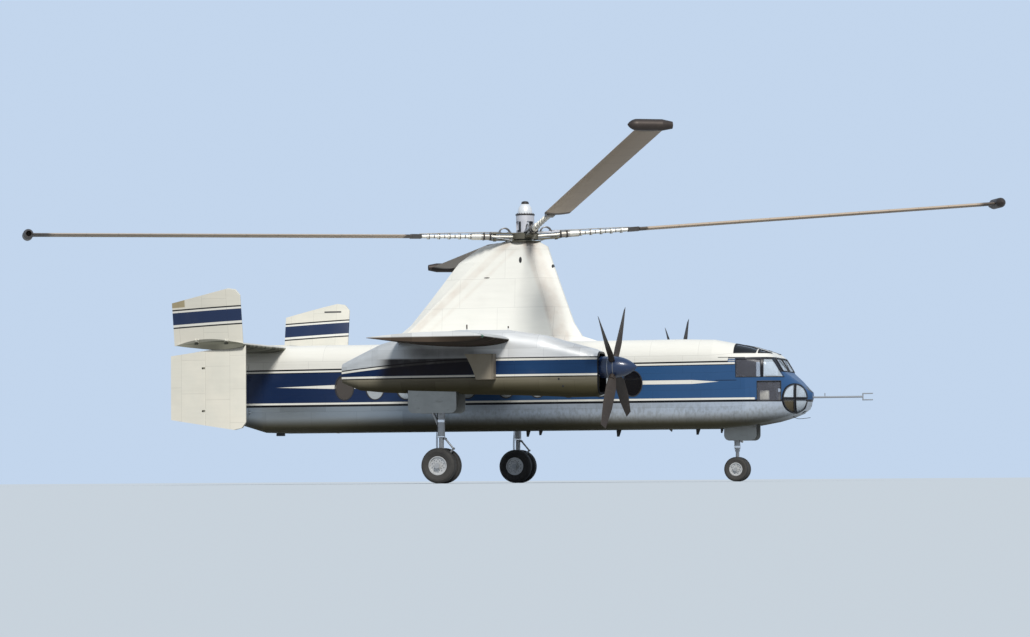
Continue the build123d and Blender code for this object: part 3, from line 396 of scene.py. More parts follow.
class GYRO_PG_studio(bpy.types.PropertyGroup):
    """The floor, the lamps and the camera."""

    floor: colour_setting("Floor", "Pale floor", (0.60, 0.66, 0.71))
    floor_bounce: colour_setting("Floor Bounce", "Floor as it lights the object", (0.24, 0.24, 0.23))
    backdrop: colour_setting("Backdrop", "Pale backdrop", (0.545, 0.670, 0.845))
    sky: colour_setting("Sky", "Soft light from all round", (0.70, 0.76, 0.86))
    key_power: number_setting("Key Strength", "Strength of the soft sun", 3.0)
    fill_power: number_setting("Fill Strength", "Strength of the sky all round", 0.52)
    lens: bpy.props.FloatProperty(
        name="Lens", description="Focal length of the camera", default=125.9, min=1.0, unit="CAMERA"
    )


def livery():
    return bpy.context.scene.gyro_livery


def fittings():
    return bpy.context.scene.gyro_fittings


def paint(name):
    """One of the livery's colours with an alpha of 1."""
    return (*getattr(livery(), name), 1.0)


def dress(names, material):
    """Gives the CAD nodes a material in all their slots."""
    for name in names:
        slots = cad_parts[name].material_slots
        if not slots:
            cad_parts[name].data.materials.append(material)
        for slot in slots:
            slot.material = material


def body_paint():
    """White roof, pinstripes, blue band with white flashes, bare metal below, dark grey inside; painted shade
    darkens the band and the sheets towards the tail, the sheets that face the ground, and the inner side.
    """
    f = Finish("Body Paint", Specular_IOR_Level=0.3)
    scheme = livery()
    height = f.height()
    line = f.calc("MULTIPLY_ADD", f.calc("ADD", f.x, 7.55), scheme.line_rise, scheme.line_height)
    front = f.over(f.x, 5.95, 0.012)
    edge = f.calc("MULTIPLY_ADD", front, f.minus(scheme.line_step, line), line)
    before_cockpit = f.under(f.x, 6.13, 0.012)
    stripe = scheme.stripe
    # Painted shade: towards the tail the bare sheets turn darker grey and the blue band turns deep blue.
    aft = f.under(f.x, -1.5, 3.0)
    sheets = f.blend(f.times(aft, 0.8), paint("metal"), rgb(0.20, 0.23, 0.25))
    # Painted shade: the lowest sheets take the dark under-sheet colour.
    low = f.under(height, 0.30, 0.20)
    streaks = f.over(f.weather(2.2, 0.6)["Streak"], 0.54, 0.12)
    grime = f.times(f.between(height, 0.05, 0.62, 0.15), streaks)
    grime = f.times(grime, f.over(f.x, -2.0, 2.0))
    sheets = f.blend(f.times(grime, 0.28), sheets, rgb(0.13, 0.12, 0.08))
    sheets = f.blend(low, sheets, paint("oily_shaded_metal"))
    band = f.blend(aft, paint("blue"), paint("deep_blue"))
    f.colour = f.blend(f.over(height, 0.745), sheets, band)
    metal = f.under(height, 0.69)
    f.lay(f.between(height, 0.692, 0.752), "black")
    white_low = f.times(f.between(height, 0.752, 0.752 + stripe, 0.005), f.under(f.x, 6.65, 0.02))
    f.lay(white_low, "white")
    tail_point = f.calc("DIVIDE", f.calc("ADD", f.x, 6.85), 1.7, clamp=True)
    nose_point = f.calc("DIVIDE", f.minus(5.73, f.x), 0.75, clamp=True)
    half = f.times(f.times(tail_point, nose_point), 0.055)
    off_middle = f.calc("ABSOLUTE", f.minus(height, 1.235))
    flash = f.over(f.minus(half, off_middle), 0.003, 0.003)
    f.lay(flash, "white")
    trail = f.times(f.between(f.x, 5.6, 6.17, 0.02), f.between(height, 1.262, 1.278, 0.006))
    f.lay(trail, "black")
    above = f.minus(height, line)
    white_high = f.times(f.between(above, -0.068, -0.068 + stripe, 0.005), before_cockpit)
    f.lay(white_high, "white")
    dark_thin = f.times(f.between(above, -0.09, -0.07, 0.005), before_cockpit)
    f.lay(dark_thin, "black")
    past_edge = f.minus(height, edge)
    off_top = f.minus(past_edge, f.calc("MULTIPLY_ADD", front, -0.012, 0.024))
    dark_high = f.times(f.over(past_edge, -0.018, 0.005), f.under(off_top, 0.0, 0.005))
    f.lay(dark_high, "black")
    f.lay(f.over(off_top, 0.0, 0.005), "white")
    spear = f.times(f.between(f.x, 5.68, 6.0, 0.02), f.between(height, 1.872, 1.888, 0.006))
    f.lay(spear, "black")
    for foot in (1.782, 1.832):
        short = f.times(f.between(f.x, 5.96, 6.13, 0.01), f.between(height, foot, foot + 0.014, 0.005))
        f.lay(short, "white")
    across = f.calc("DIVIDE", f.minus(f.x, 7.62), 0.297)
    upward = f.calc("DIVIDE", f.minus(height, 0.775), 0.407)
    from_middle = f.calc("MULTIPLY_ADD", across, across, f.times(upward, upward))
    round_frame = f.times(f.under(from_middle, 1.0, 0.03), f.over(f.calc("ABSOLUTE", f.y), 0.35, 0.02))
    posts = f.times(f.between(f.x, 6.785, 6.875), f.between(height, 1.34, 1.855))
    screen = f.times(f.over(f.x, 7.085, 0.01), f.between(height, 1.487, 1.875))
    frames = f.most(round_frame, f.most(posts, screen))
    f.lay(frames, "black")
    # Painted shade: faces that look into the cabin, and the backs of the nose, take the dark inside colour.
    hidden = f.inside(None, 0.0, CABIN_AXIS)
    ahead = f.most(f.minus(f.x, 6.9), 0.0)
    facing_back = f.under(f.times(f.faces[0], ahead), -0.12, 0.04)
    hidden = f.most(hidden, facing_back)
    f.lay(hidden, "inside")
    metal = f.times(metal, f.minus(1.0, hidden))
    slant = f.calc("MULTIPLY_ADD", f.calc("ABSOLUTE", f.y), 0.6, height)
    return riveted(f, metal, f.x, slant, (1.32, 0.46), matt=f.times(low, 0.8))


def bright_sheets(name, sheet, top, below, gloss, tip_light_and_shade, tip_y):
    """Bare riveted sheets that run across; painted shade makes them dark, with oily streaks, where they face
    the ground, and the tips take their own painted light, lighter on the wing and darker on the tailplane.
    """
    f = Finish(name, Specular_IOR_Level=0.08)
    # Painted shade: faces that look down, and low side faces, take the dark underside colour with oily streaks.
    low = f.under(f.faces[2], -0.04, 0.05)
    edge = f.under(f.faces[2], 0.5, 0.05)
    low = f.most(low, f.times(edge, f.under(f.z, 3.768, 0.02)))
    drawn = node(f.tree, "ShaderNodeCombineXYZ", {"X": f.times(f.x, 0.25), "Y": f.times(f.y, 4.0)})
    inputs = {"Vector": drawn.outputs[0], "Scale": 1.4, "Detail": 4.0}
    streaks = node(f.tree, "ShaderNodeTexNoise", inputs).outputs[0]
    shaded_oily_underside = f.blend(f.over(streaks, 0.52, 0.12), below, tuple(2.6 * c for c in below[:3]) + (1.0,))
    outboard = f.calc("ABSOLUTE", f.y)
    # Painted light and shade: the tip faces take the tip colour, lighter than the top on the wing and darker on
    # the tailplane.
    tip = f.times(edge, f.over(outboard, tip_y, 0.02))
    f.colour = f.blend(low, f.blend(tip, top, tip_light_and_shade), shaded_oily_underside)
    mast = f.times(f.over(f.z, 3.95, 0.008), f.over(outboard, 4.7, 0.01))
    f.lay(mast, MAST_BROWN)
    return riveted(f, 1.0, f.y, f.x, sheet, (0.36, 0.50), 0.2, gloss, low)


def nacelle_paint():
    """Bright metal above, dull metal below, a blue band between pinstripes, soot behind the exhaust; painted
    shade darkens the lower half, the top aft, the metal under the wing and the cowl's lip, and painted light
    brightens the band's front.
    """
    f = Finish("Nacelle Paint", Specular_IOR_Level=0.12)
    height = f.height()
    aft = f.most(f.minus(0.3, f.x), 0.0)
    high = f.minus(1.835, f.times(f.calc("POWER", aft, 1.6), 0.027))
    low = 1.365
    # Painted shade: the lower half is dark for shade and the dark ground it reflects, and the top turns darker
    # grey aft.
    lower = f.blend(f.over(height, 1.20, 0.17), paint("oily_shaded_metal"), rgb(0.20, 0.185, 0.14))
    upper = f.blend(f.times(f.under(f.x, -0.6, 1.6), 0.5), paint("bright_metal"), rgb(0.30, 0.33, 0.35))
    shaded_lower_half = f.under(height, 1.37, 0.02)
    sheets = f.blend(shaded_lower_half, upper, lower)
    band = f.times(f.over(height, low), f.under(height, high))
    f.colour = f.blend(band, sheets, paint("deep_blue"))
    # Painted light: the deep blue band is lit half way to blue at the front.
    lit = f.times(band, f.times(f.over(f.x, 0.6, 0.8), 0.5))
    f.lay(lit, "blue")
    painted = band
    for edge, inner, outer in ((high, (-0.054, 0.0), (0.0, 0.028)), (low, (0.0, 0.054), (-0.028, 0.0))):
        off = f.minus(height, edge)
        f.lay(f.between(off, *inner, 0.005), "white")
        dark = f.between(off, *outer, 0.005)
        f.lay(dark, "black")
        painted = f.most(painted, dark)
    outboard = f.over(f.calc("ABSOLUTE", f.y), NACELLE_Y + 0.3, 0.1)
    cloud = f.calc("MULTIPLY_ADD", f.noise(2.2, 4.0), 0.7, 0.62)
    # Soot on the band; on the metal under the wing it is soot with the wing's painted shadow.
    on_band = f.times(f.between(f.x, -2.75, -0.15, 0.30), f.between(height, 1.425, 1.87, 0.03))
    wing_shadow_and_soot = f.times(f.between(f.x, -2.1, -0.2, 0.45), f.between(height, 1.82, 2.20, 0.16))
    soot_and_shadow = f.most(f.times(wing_shadow_and_soot, 0.62), f.times(on_band, 0.97))
    soot_and_shadow = f.times(f.times(soot_and_shadow, outboard), cloud)
    soot_and_shadow = f.calc("MINIMUM", soot_and_shadow, 0.95)
    f.lay(soot_and_shadow, rgb(0.016, 0.011, 0.012))
    mast = f.over(f.z, 4.085, 0.008)
    f.lay(mast, MAST_BROWN)
    # Painted shade: the inside of the cowl and its front lip are near black.
    hidden = f.inside(None, f.beside(NACELLE_Y), PROP_Z)
    lip = f.most(hidden, f.over(f.x, 3.085, 0.008))
    f.lay(lip, rgb(0.012, 0.013, 0.016))
    bare = f.times(f.minus(1.0, painted), f.calc("MULTIPLY_ADD", soot_and_shadow, -0.9, 1.0))
    bare = f.times(bare, f.minus(1.0, lip))
    return riveted(f, bare, f.x, height, (0.95, 0.42), (0.36, 0.46), 0.26, 0.36, shaded_lower_half)


def fin_paint(name, stripes=False):
    """Cream paint; the upper fins carry stripes, a brown corner, a slot and a dark rounded foot, a painted
    shade that stands for the shaded underside of the tailplane's tip.
    """
    f = Finish(name)
    worn = f.weather(1.1, 2.0)
    cool = f.times(f.over(worn["Blotch"], 0.5, 0.15), 0.35)
    f.colour = f.blend(cool, paint("cream"), rgb(0.66, 0.67, 0.60))
    if stripes:
        climb = f.times(f.calc("ADD", f.x, 6.62), 0.051)
        level = f.minus(f.height(), climb)
        for low, high, shade in (
            (2.865, 2.902, "black"), (2.905, 2.965, "white"), (2.965, 3.285, "deep_blue"),
            (3.285, 3.33, "white"), (3.335, 3.372, "black"),
        ):
            f.lay(f.between(level, low, high), shade)
        outer = f.over(f.times(f.faces[1], f.y), 0.0, 0.2)
        corner = f.times(f.under(f.x, -8.2, 0.02), f.over(level, 3.42, 0.01))
        f.lay(f.times(f.times(corner, outer), 0.85), rgb(0.34, 0.27, 0.13))
        slot = f.times(f.between(f.x, -7.37, -6.86, 0.01), f.between(f.z, 5.0, 5.045, 0.006))
        slot = f.times(slot, f.minus(1.0, outer))
        f.lay(slot, rgb(0.03, 0.03, 0.03))
        # Painted shade: the dark lens at the fin's foot stands for the shaded underside of the tailplane's tip.
        along = f.calc("DIVIDE", f.calc("ADD", f.x, 7.57), 0.98)
        root = f.minus(3.91, f.times(f.times(along, along), 0.17))
        root = f.times(f.over(f.minus(root, f.z), 0.0, 0.01), outer)
        f.lay(f.times(root, 0.85), rgb(0.13, 0.13, 0.10))
    return riveted(f, 0.0, f.z, f.x, (0.9, 0.7), rough=(0.44, 0.4))


def pylon_paint():
    """White pylon with brown stains and painted shade along its creases, a darker top and a few dark openings;
    the darker top is soot with the painted shadow of the rotor head.
    """
    f = Finish("Pylon Paint")
    height = f.height()
    up = f.minus(height, 2.4)
    front = f.calc("MULTIPLY_ADD", up, -0.25, 1.035)
    front = f.calc("MULTIPLY_ADD", f.times(up, up), -0.037, front)
    rear = f.calc("MULTIPLY_ADD", up, 1.112, -3.64)
    cloud = f.calc("MULTIPLY_ADD", f.noise(2.6, 5.0), 1.5, -0.25, clamp=True)
    # Painted light: the pylon takes the lighter copy of the white.
    f.colour = paint("sunlit_pylon_white")
    # Brown bands at the creases: stains at the rear crease; at the front crease partly painted shade.
    for crease, aft, ahead, share in (
        (front, -0.05, 0.32, 0.55), (front, -0.10, 0.0, 0.35),
        (rear, 0.02, 0.30, 0.42), (rear, 0.55, 0.68, 0.25),
    ):
        off = f.minus(f.x, crease)
        crease_stain_and_shade = f.times(f.between(off, aft, ahead, 0.07), f.times(cloud, share))
        f.lay(crease_stain_and_shade, rgb(0.60, 0.46, 0.36))
    # Darker top: soot with the painted shadow of the rotor head.
    soot_and_shadow = f.times(f.over(height, 4.95, 0.25), f.times(cloud, 0.5))
    f.lay(soot_and_shadow, rgb(0.36, 0.29, 0.24))
    openings = ((-0.03, 4.67, 0.042, 0.085), (-1.0, 4.2, 0.085, 0.016), (0.80, 4.5, 0.028, 0.05))
    for x, z, half_x, half_z in openings:
        across = f.calc("DIVIDE", f.minus(f.x, x), half_x)
        along = f.calc("DIVIDE", f.minus(height, z), half_z)
        spot = f.calc("MULTIPLY_ADD", across, across, f.times(along, along))
        f.lay(f.under(spot, 1.0, 0.15), rgb(0.02, 0.018, 0.016))
    mast = f.over(height, 5.18, 0.004)
    f.lay(mast, rgb(0.20, 0.19, 0.18))
    return riveted(f, 0.0, f.x, f.z, (1.6, 0.8), rough=(0.44, 0.4))


def plain_finish(name, colour, rough=0.5, metal=0.0, grain=40.0, vary=0.25, **shader):
    """A surface with blotches, fine grain and worn patches."""
    f = Finish(name, Metallic=metal, **shader)
    worn = f.weather(0.35, 3.0)
    dark = tuple(c * (1.0 - vary) for c in colour[:3]) + (1.0,)
    light = tuple(min(1.0, c * (1.0 + vary * 0.6)) for c in colour[:3]) + (1.0,)
    tint = f.blend(worn["Blotch"], dark, light)
    tint = f.blend(f.times(f.over(worn["Streak"], 0.66, 0.1), 0.3), tint, rgb(0.09, 0.075, 0.06))
    fine = f.noise(grain)
    roughness = f.calc("MULTIPLY_ADD", fine, 0.18, rough - 0.09, clamp=True)
    f.feed(Base_Color=tint, Roughness=roughness, Normal=f.bump(fine, 0.0006, 0.6))
    return f.material


def duct_finish():
    """Heated beige metal outside, soot inside."""
    f = Finish("Exhaust Duct", Metallic=0.25)
    worn = f.weather(0.5, 2.0)
    f.colour = f.blend(worn["Blotch"], rgb(0.22, 0.18, 0.12), rgb(0.40, 0.35, 0.27))
    f.lay(f.times(f.over(f.x, 0.33, 0.02), 0.5), rgb(0.12, 0.10, 0.08))
    hidden = f.inside(0.1, f.beside(4.45), BELLY + 1.62, soft=0.015)
    f.lay(hidden, rgb(0.010, 0.009, 0.009))
    return f.speckled(worn["Speckle"], 0.42, 0.001)


def from_axis(f):
    """Distance from the rotor's axis."""
    return f.calc("SQRT", f.calc("MULTIPLY_ADD", f.x, f.x, f.times(f.y, f.y)))


def blade_skin():
    """Matt tan blade with darker joints, root and rubbed edges."""
    f = Finish("Blade Skin", Specular_IOR_Level=0.15)
    worn = f.weather(0.9, 3.0)
    share = f.calc("MULTIPLY_ADD", worn["Blotch"], 0.9, -0.1, clamp=True)
    f.colour = f.blend(share, paint("blade"), rgb(0.45, 0.365, 0.28))
    radius = from_axis(f)
    ring = f.calc("FRACT", f.calc("DIVIDE", radius, 0.86))
    f.lay(f.times(f.under(ring, 0.012, 0.006), 0.5), rgb(0.07, 0.055, 0.04))
    f.lay(f.times(f.under(radius, 3.42, 0.02), 0.85), rgb(0.035, 0.028, 0.024))
    f.lay(f.times(f.over(radius, 13.0, 0.12), 0.85), rgb(0.05, 0.04, 0.035))
    return f.speckled(worn["Speckle"], 0.42)


def hub_metal():
    """A pale drum with four dark openings between the arms, on a hub that is dark below the drum."""
    f = Finish("Hub Metal", Metallic=0.3, Specular_IOR_Level=0.3)
    worn = f.weather(0.3, 2.0)
    height = f.height()
    f.colour = f.blend(worn["Blotch"], rgb(0.42, 0.42, 0.45), rgb(0.74, 0.74, 0.78))
    quarter = f.calc("DIVIDE", f.minus(f.calc("ARCTAN2", f.y, f.x), DRUM_OPENING), math.tau / 4)
    off = f.calc("ABSOLUTE", f.minus(f.calc("FRACT", f.calc("ADD", quarter, 4.5)), 0.5))
    opening = f.times(f.under(off, 0.17, 0.02), f.between(height, 5.45, 5.74, 0.01))
    f.lay(opening, rgb(0.030, 0.032, 0.035))
    f.lay(f.under(height, 5.44, 0.02), rgb(0.13, 0.12, 0.09))
    return f.speckled(worn["Speckle"], 0.34)


def arm_metal():
    """Bright arms with dark collars, a brown sleeve and a dark root fitting."""
    f = Finish("Arm Metal", Metallic=0.6)
    worn = f.weather(0.3, 2.0)
    f.colour = f.blend(worn["Blotch"], rgb(0.50, 0.48, 0.42), rgb(0.78, 0.76, 0.70))
    radius = from_axis(f)
    step = f.calc("DIVIDE", f.minus(radius, 0.945), 0.14333)
    collar = f.times(f.under(f.calc("FRACT", step), 0.20, 0.03), f.between(radius, 1.5, 2.75, 0.01))
    f.lay(f.times(collar, 0.85), rgb(0.05, 0.04, 0.032))
    f.lay(f.times(f.between(radius, 0.95, 1.24, 0.02), 0.55), rgb(0.12, 0.09, 0.07))
    f.lay(f.times(f.over(radius, 2.88, 0.01), 0.92), rgb(0.022, 0.018, 0.016))
    return f.speckled(worn["Speckle"], 0.30)


def tyre_rubber(name, groove, pitch):
    """Dark rubber with grooves round the tread."""
    f = Finish(name)
    worn = f.weather(0.12, 2.0)
    across = f.calc("FRACT", f.calc("DIVIDE", f.y, pitch))
    off_middle = f.calc("ABSOLUTE", f.minus(across, 0.5))
    cut = f.under(off_middle, groove / pitch / 2, 0.03)
    f.colour = f.blend(worn["Blotch"], rgb(0.028, 0.027, 0.026), rgb(0.060, 0.056, 0.050))
    # Painted shade: the grooves are darker than the rubber.
    f.lay(f.times(cut, 0.7), rgb(0.010, 0.010, 0.010))
    rough = f.calc("MULTIPLY_ADD", worn["Speckle"], 0.2, 0.66)
    height = f.minus(f.times(worn["Speckle"], 0.1), cut)
    f.feed(Base_Color=f.colour, Roughness=rough, Normal=f.bump(height, 0.006, 0.9))
    return f.material


def cockpit_glass():
    """Clear side panes, brighter front panes with a painted reflection of the sky, a painted brown reflection
    low in front, and dark roof panes.
    """
    f = Finish("Cockpit Glass", Metallic=0.0, IOR=1.45, Specular_IOR_Level=0.2)
    worn = f.weather(0.6, 2.0)
    roof = f.over(f.z, BELLY + 1.93, 0.01)
    # Painted reflection: the front panes take a pale sky colour and more alpha.
    upper = f.most(f.over(f.x, 7.31, 0.02), f.over(f.z, BELLY + 1.3, 0.02))
    sky_reflection = f.times(f.over(f.x, 6.83, 0.02), upper)
    f.colour = f.blend(worn["Blotch"], rgb(0.30, 0.31, 0.37), rgb(0.22, 0.23, 0.28))
    f.lay(sky_reflection, rgb(0.66, 0.76, 0.86))
    # Painted reflection: a brown patch low in the front panes.
    brown_reflection = f.times(f.between(f.x, 7.31, 7.60, 0.01), f.under(f.z, BELLY + 0.775, 0.01))
    f.lay(brown_reflection, rgb(0.10, 0.085, 0.055))
    f.lay(roof, rgb(0.014, 0.016, 0.018))
    alpha = f.calc("MULTIPLY_ADD", sky_reflection, 0.26, f.calc("MULTIPLY_ADD", worn["Blotch"], 0.08, 0.14))
    alpha = f.most(alpha, f.most(f.times(roof, 0.94), f.times(brown_reflection, 0.75)))
    rough = f.calc("MULTIPLY_ADD", worn["Speckle"], 0.06, 0.12)
    f.feed(Base_Color=f.colour, Roughness=rough, Alpha=alpha)
    return f.material


def cabin_glass():
    """Tinted oval panes, with the first and the last painted dark."""
    f = Finish("Cabin Glass", Metallic=0.0, IOR=1.45)
    worn = f.weather(0.6, 2.0)
    last = f.under(f.x, -4.4, 0.02)
    first = f.over(f.x, 2.9, 0.02)
    f.colour = f.blend(worn["Blotch"], rgb(0.78, 0.84, 0.88), rgb(0.58, 0.64, 0.68))
    f.lay(last, rgb(0.075, 0.062, 0.050))
    f.lay(first, rgb(0.010, 0.010, 0.012))
    alpha = f.calc("MULTIPLY_ADD", worn["Blotch"], 0.10, 0.38)
    alpha = f.most(alpha, f.most(f.times(last, 0.9), f.times(first, 0.95)))
    rough = f.calc("MULTIPLY_ADD", worn["Speckle"], 0.05, 0.03)
    f.feed(Base_Color=f.colour, Roughness=rough, Alpha=alpha)
    return f.material


def leather():
    """Brown hide with a fine pebble grain and rubbed high spots."""
    f = Finish("Brown Leather")
    worn = f.weather(0.15, 1.5)
    cells = node(f.tree, "ShaderNodeTexVoronoi", {"Vector": f.place, "Scale": 320.0})
    colour = f.blend(worn["Blotch"], rgb(0.075, 0.040, 0.024), rgb(0.17, 0.10, 0.062))
    rough = f.calc("MULTIPLY_ADD", worn["Streak"], 0.25, 0.34)
    normal = f.bump(cells.outputs["Distance"], 0.0012, 0.5)
    f.feed(Base_Color=colour, Roughness=rough, Normal=normal)
    return f.material


def lamp_glass(name, colour):
    """A coloured lens with moulded ribs."""
    f = Finish(name, Coat_Weight=1.0)
    ribs = node(f.tree, "ShaderNodeTexWave", {"Vector": f.place, "Scale": 60.0})
    tint = f.blend(f.noise(30.0), colour, tuple(0.6 * c for c in colour[:3]) + (1.0,))
    rough = f.calc("MULTIPLY_ADD", f.noise(80.0), 0.1, 0.08)
    f.feed(Base_Color=tint, Roughness=rough, Normal=f.bump(ribs.outputs[1], 0.001, 0.5))
    return f.material


def facing(direction, at=(0, 0, 0)):
    """A placement whose Z looks along a direction."""
    turn = Vector(direction).to_track_quat("Z", "Y").to_matrix().to_4x4()
    return Matrix.Translation(at) @ turn


def add_rod(bm, start, end, radius, end_radius=None, segments=16):
    """A round bar or cone between two points."""
    start, end = Vector(start), Vector(end)
    run = end - start
    far = radius if end_radius is None else end_radius
    bmesh.ops.create_cone(
        bm, cap_ends=True, segments=segments, radius1=radius, radius2=far, depth=run.length,
        matrix=facing(run, (start + end) / 2),
    )


def add_box(bm, centre, size, turn=None, bevel=0.0, rounds=2):
    """A box with softened edges."""
    place = Matrix.Translation(centre) @ (turn or Matrix.Identity(4)) @ Matrix.Diagonal((*size, 1.0))
    verts = bmesh.ops.create_cube(bm, size=1.0, matrix=place)["verts"]
    if bevel:
        edges = list(dict.fromkeys(e for v in verts for e in v.link_edges))
        bmesh.ops.bevel(
            bm, geom=edges, offset=bevel, segments=rounds, profile=0.5, affect="EDGES", material=-1
        )


def add_turned(bm, profile, place, segments=32):
    """A body turned about local Z from a profile of (radius, height)."""
    verts = [bm.verts.new(place @ Vector((r, 0.0, h))) for r, h in profile]
    edges = [bm.edges.new(pair) for pair in zip(verts, verts[1:])]
    axis = place.to_3x3() @ Vector((0, 0, 1))
    bmesh.ops.spin(
        bm, geom=verts + edges, cent=place.translation, axis=axis, angle=math.tau, steps=segments,
        use_merge=True,
    )


def add_ring(bm, place, radius, thickness, height, segments=40):
    """A flat collar about local Z with chamfered rims."""
    out, c = radius + thickness, thickness * 0.25
    outer = [(out - c, 0), (out, c), (out, height - c), (out - c, height)]
    add_turned(bm, [(radius, 0), *outer, (radius, height), (radius, 0)], place, segments)


def add_pipe(bm, points, radius, closed=False, smooth=False):
    """A round pipe along points, made from a curve."""
    curve = bpy.data.curves.new("pipe", "CURVE")
    curve.dimensions = "3D"
    curve.bevel_depth = radius
    curve.bevel_resolution = 2
    curve.use_fill_caps = not closed
    line = curve.splines.new("NURBS" if smooth else "POLY")
    line.points.add(len(points) - 1)
    for point, at in zip(line.points, points):
        point.co = (*at, 1.0)
    line.use_cyclic_u = closed
    if smooth:
        line.order_u = 3
        line.use_endpoint_u = not closed
        line.resolution_u = 6
    holder = bpy.data.objects.new("pipe", curve)
    mesh = bpy.data.meshes.new_from_object(holder)
    bm.from_mesh(mesh)
    bpy.data.objects.remove(holder)
    bpy.data.curves.remove(curve)
    bpy.data.meshes.remove(mesh)


def arc_points(centre, radius, start, end, steps, first=(1, 0, 0), second=(0, 0, 1)):
    """Points on an arc in the plane of two directions, angles in degrees."""
    a, b, c = Vector(first), Vector(second), Vector(centre)
    turns = (math.radians(start + (end - start) * i / steps) for i in range(steps + 1))
    return [c + a * radius * math.cos(t) + b * radius * math.sin(t) for t in turns]


def round_about(centre, axis, radius, count, phase=0.0):
    """Points spaced round a circle about an axis, for bolts."""
    place = facing(axis, centre)
    turns = (math.tau * (k + phase) / count for k in range(count))
    return [place @ Vector((radius * math.cos(t), radius * math.sin(t), 0.0)) for t in turns]


def piece(name, bm, material, body="airframe", smooth=35.0, stands_for=()):
    """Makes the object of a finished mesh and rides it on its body."""
    bmesh.ops.remove_doubles(bm, verts=bm.verts, dist=1e-6)
    bmesh.ops.recalc_face_normals(bm, faces=bm.faces)
    mesh = bpy.data.meshes.new(name)
    bm.to_mesh(mesh)
    bm.free()
    mesh.materials.append(material)
    mesh.shade_smooth()
    made = bpy.data.objects.new(name, mesh)
    bpy.context.scene.collection.objects.link(made)
    mesh.set_sharp_from_angle(angle=math.radians(smooth))
    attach(made, body)
    if stands_for:
        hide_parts(*stands_for)
    return made


def skin_hit(name, start, toward):
    """Where a line from start meets a CAD node's skin, and the way the skin faces there."""
    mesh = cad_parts[name].data
    corners = [v.co for v in mesh.vertices]
    tree = BVHTree.FromPolygons(corners, [tuple(p.vertices) for p in mesh.polygons])
    at, out, _, _ = tree.ray_cast(Vector(start), Vector(toward))
    if at is None:
        raise RuntimeError("no skin of %s in that direction" % name)
    return at, (out if out.dot(Vector(toward)) < 0 else -out)


BODY_NODES = (
    "fuselage_belly", "nose_belly", "fuselage_wall_left", "fuselage_wall_right", "fuselage_roof",
    "nose_shell", "tail_cone", "passenger_door", "clamshell_door_left", "clamshell_door_right",
)
NACELLE_NODES = ("nacelle_left", "nacelle_right", "nacelle_tail_left", "nacelle_tail_right")


class GYRO_OT_body_paint(bpy.types.Operator):
    """Paint the body, its doors and its floor"""

    bl_idname = "gyro.body_paint"
    bl_label = "Paint the Body"

    def execute(self, context):
        dress(BODY_NODES, body_paint())
        dress(("nose_probe",), plain_finish("Probe Metal", rgb(0.36, 0.38, 0.40), 0.4, 0.4, 60.0, 0.2))
        dress(("belly_aerials",), plain_finish("Aerial Black", rgb(0.020, 0.019, 0.018), 0.5, 0.0, 60.0, 0.3))
        return {"FINISHED"}


class GYRO_OT_metal_skins(bpy.types.Operator):
    """Give the wing, ailerons, gear doors and nacelles their sheets of metal"""

    bl_idname = "gyro.metal_skins"
    bl_label = "Skin the Wing and Nacelles"

    def execute(self, context):
        # Painted shade under the wing, painted light on its tips.
        skin = bright_sheets(
            "Wing Metal", (1.1, 0.55), paint("wing_metal"), rgb(0.032, 0.024, 0.018), 0.2,
            paint("lit_wing_tip"), 7.0,
        )
        dress(("wing", "aileron_left", "aileron_right"), skin)
        dress(("gear_doors",), plain_finish("Gear Door Metal", rgb(0.30, 0.30, 0.28), 0.4, 0.6, 30.0))
        dress(NACELLE_NODES, nacelle_paint())
        dress(("exhaust_ducts",), duct_finish())
        return {"FINISHED"}


class GYRO_OT_tail_paint(bpy.types.Operator):
    """Paint the pylon and the tail surfaces"""

    bl_idname = "gyro.tail_paint"
    bl_label = "Paint the Pylon and Tail"

    def execute(self, context):
        dress(("rotor_pylon",), pylon_paint())
        dress(("lower_fins", "rudder_left", "rudder_right"), fin_paint("Fin Paint"))
        dress(("upper_fin_left", "upper_fin_right"), fin_paint("Striped Fin Paint", True))
        tailplane = ("tailplane", "elevator_left", "elevator_right")
        # Painted shade under the tailplane and on its tips.
        skin = bright_sheets(
            "Tailplane Paint", (0.9, 0.6), rgb(0.66, 0.66, 0.62), rgb(0.10, 0.10, 0.08), 0.1,
            rgb(0.13, 0.13, 0.10), 4.5,
        )
        dress(tailplane, skin)
        return {"FINISHED"}


class GYRO_OT_rotor_finish(bpy.types.Operator):
    """Finish the rotor head, the arms, the blades and the tip jets"""

    bl_idname = "gyro.rotor_finish"
    bl_label = "Finish the Rotor"

    def execute(self, context):
        dress(("rotor_blades",), blade_skin())
        dress(("tip_jets",), plain_finish("Jet Steel", rgb(0.060, 0.046, 0.038), 0.5, 0.5, 25.0, 0.45))
        dress(("rotor_hub",), hub_metal())
        dress(("rotor_cap",), plain_finish("Cap Metal", rgb(0.86, 0.86, 0.85), 0.30, 0.4, 30.0, 0.10))
        dress(("blade_arms",), arm_metal())
        return {"FINISHED"}


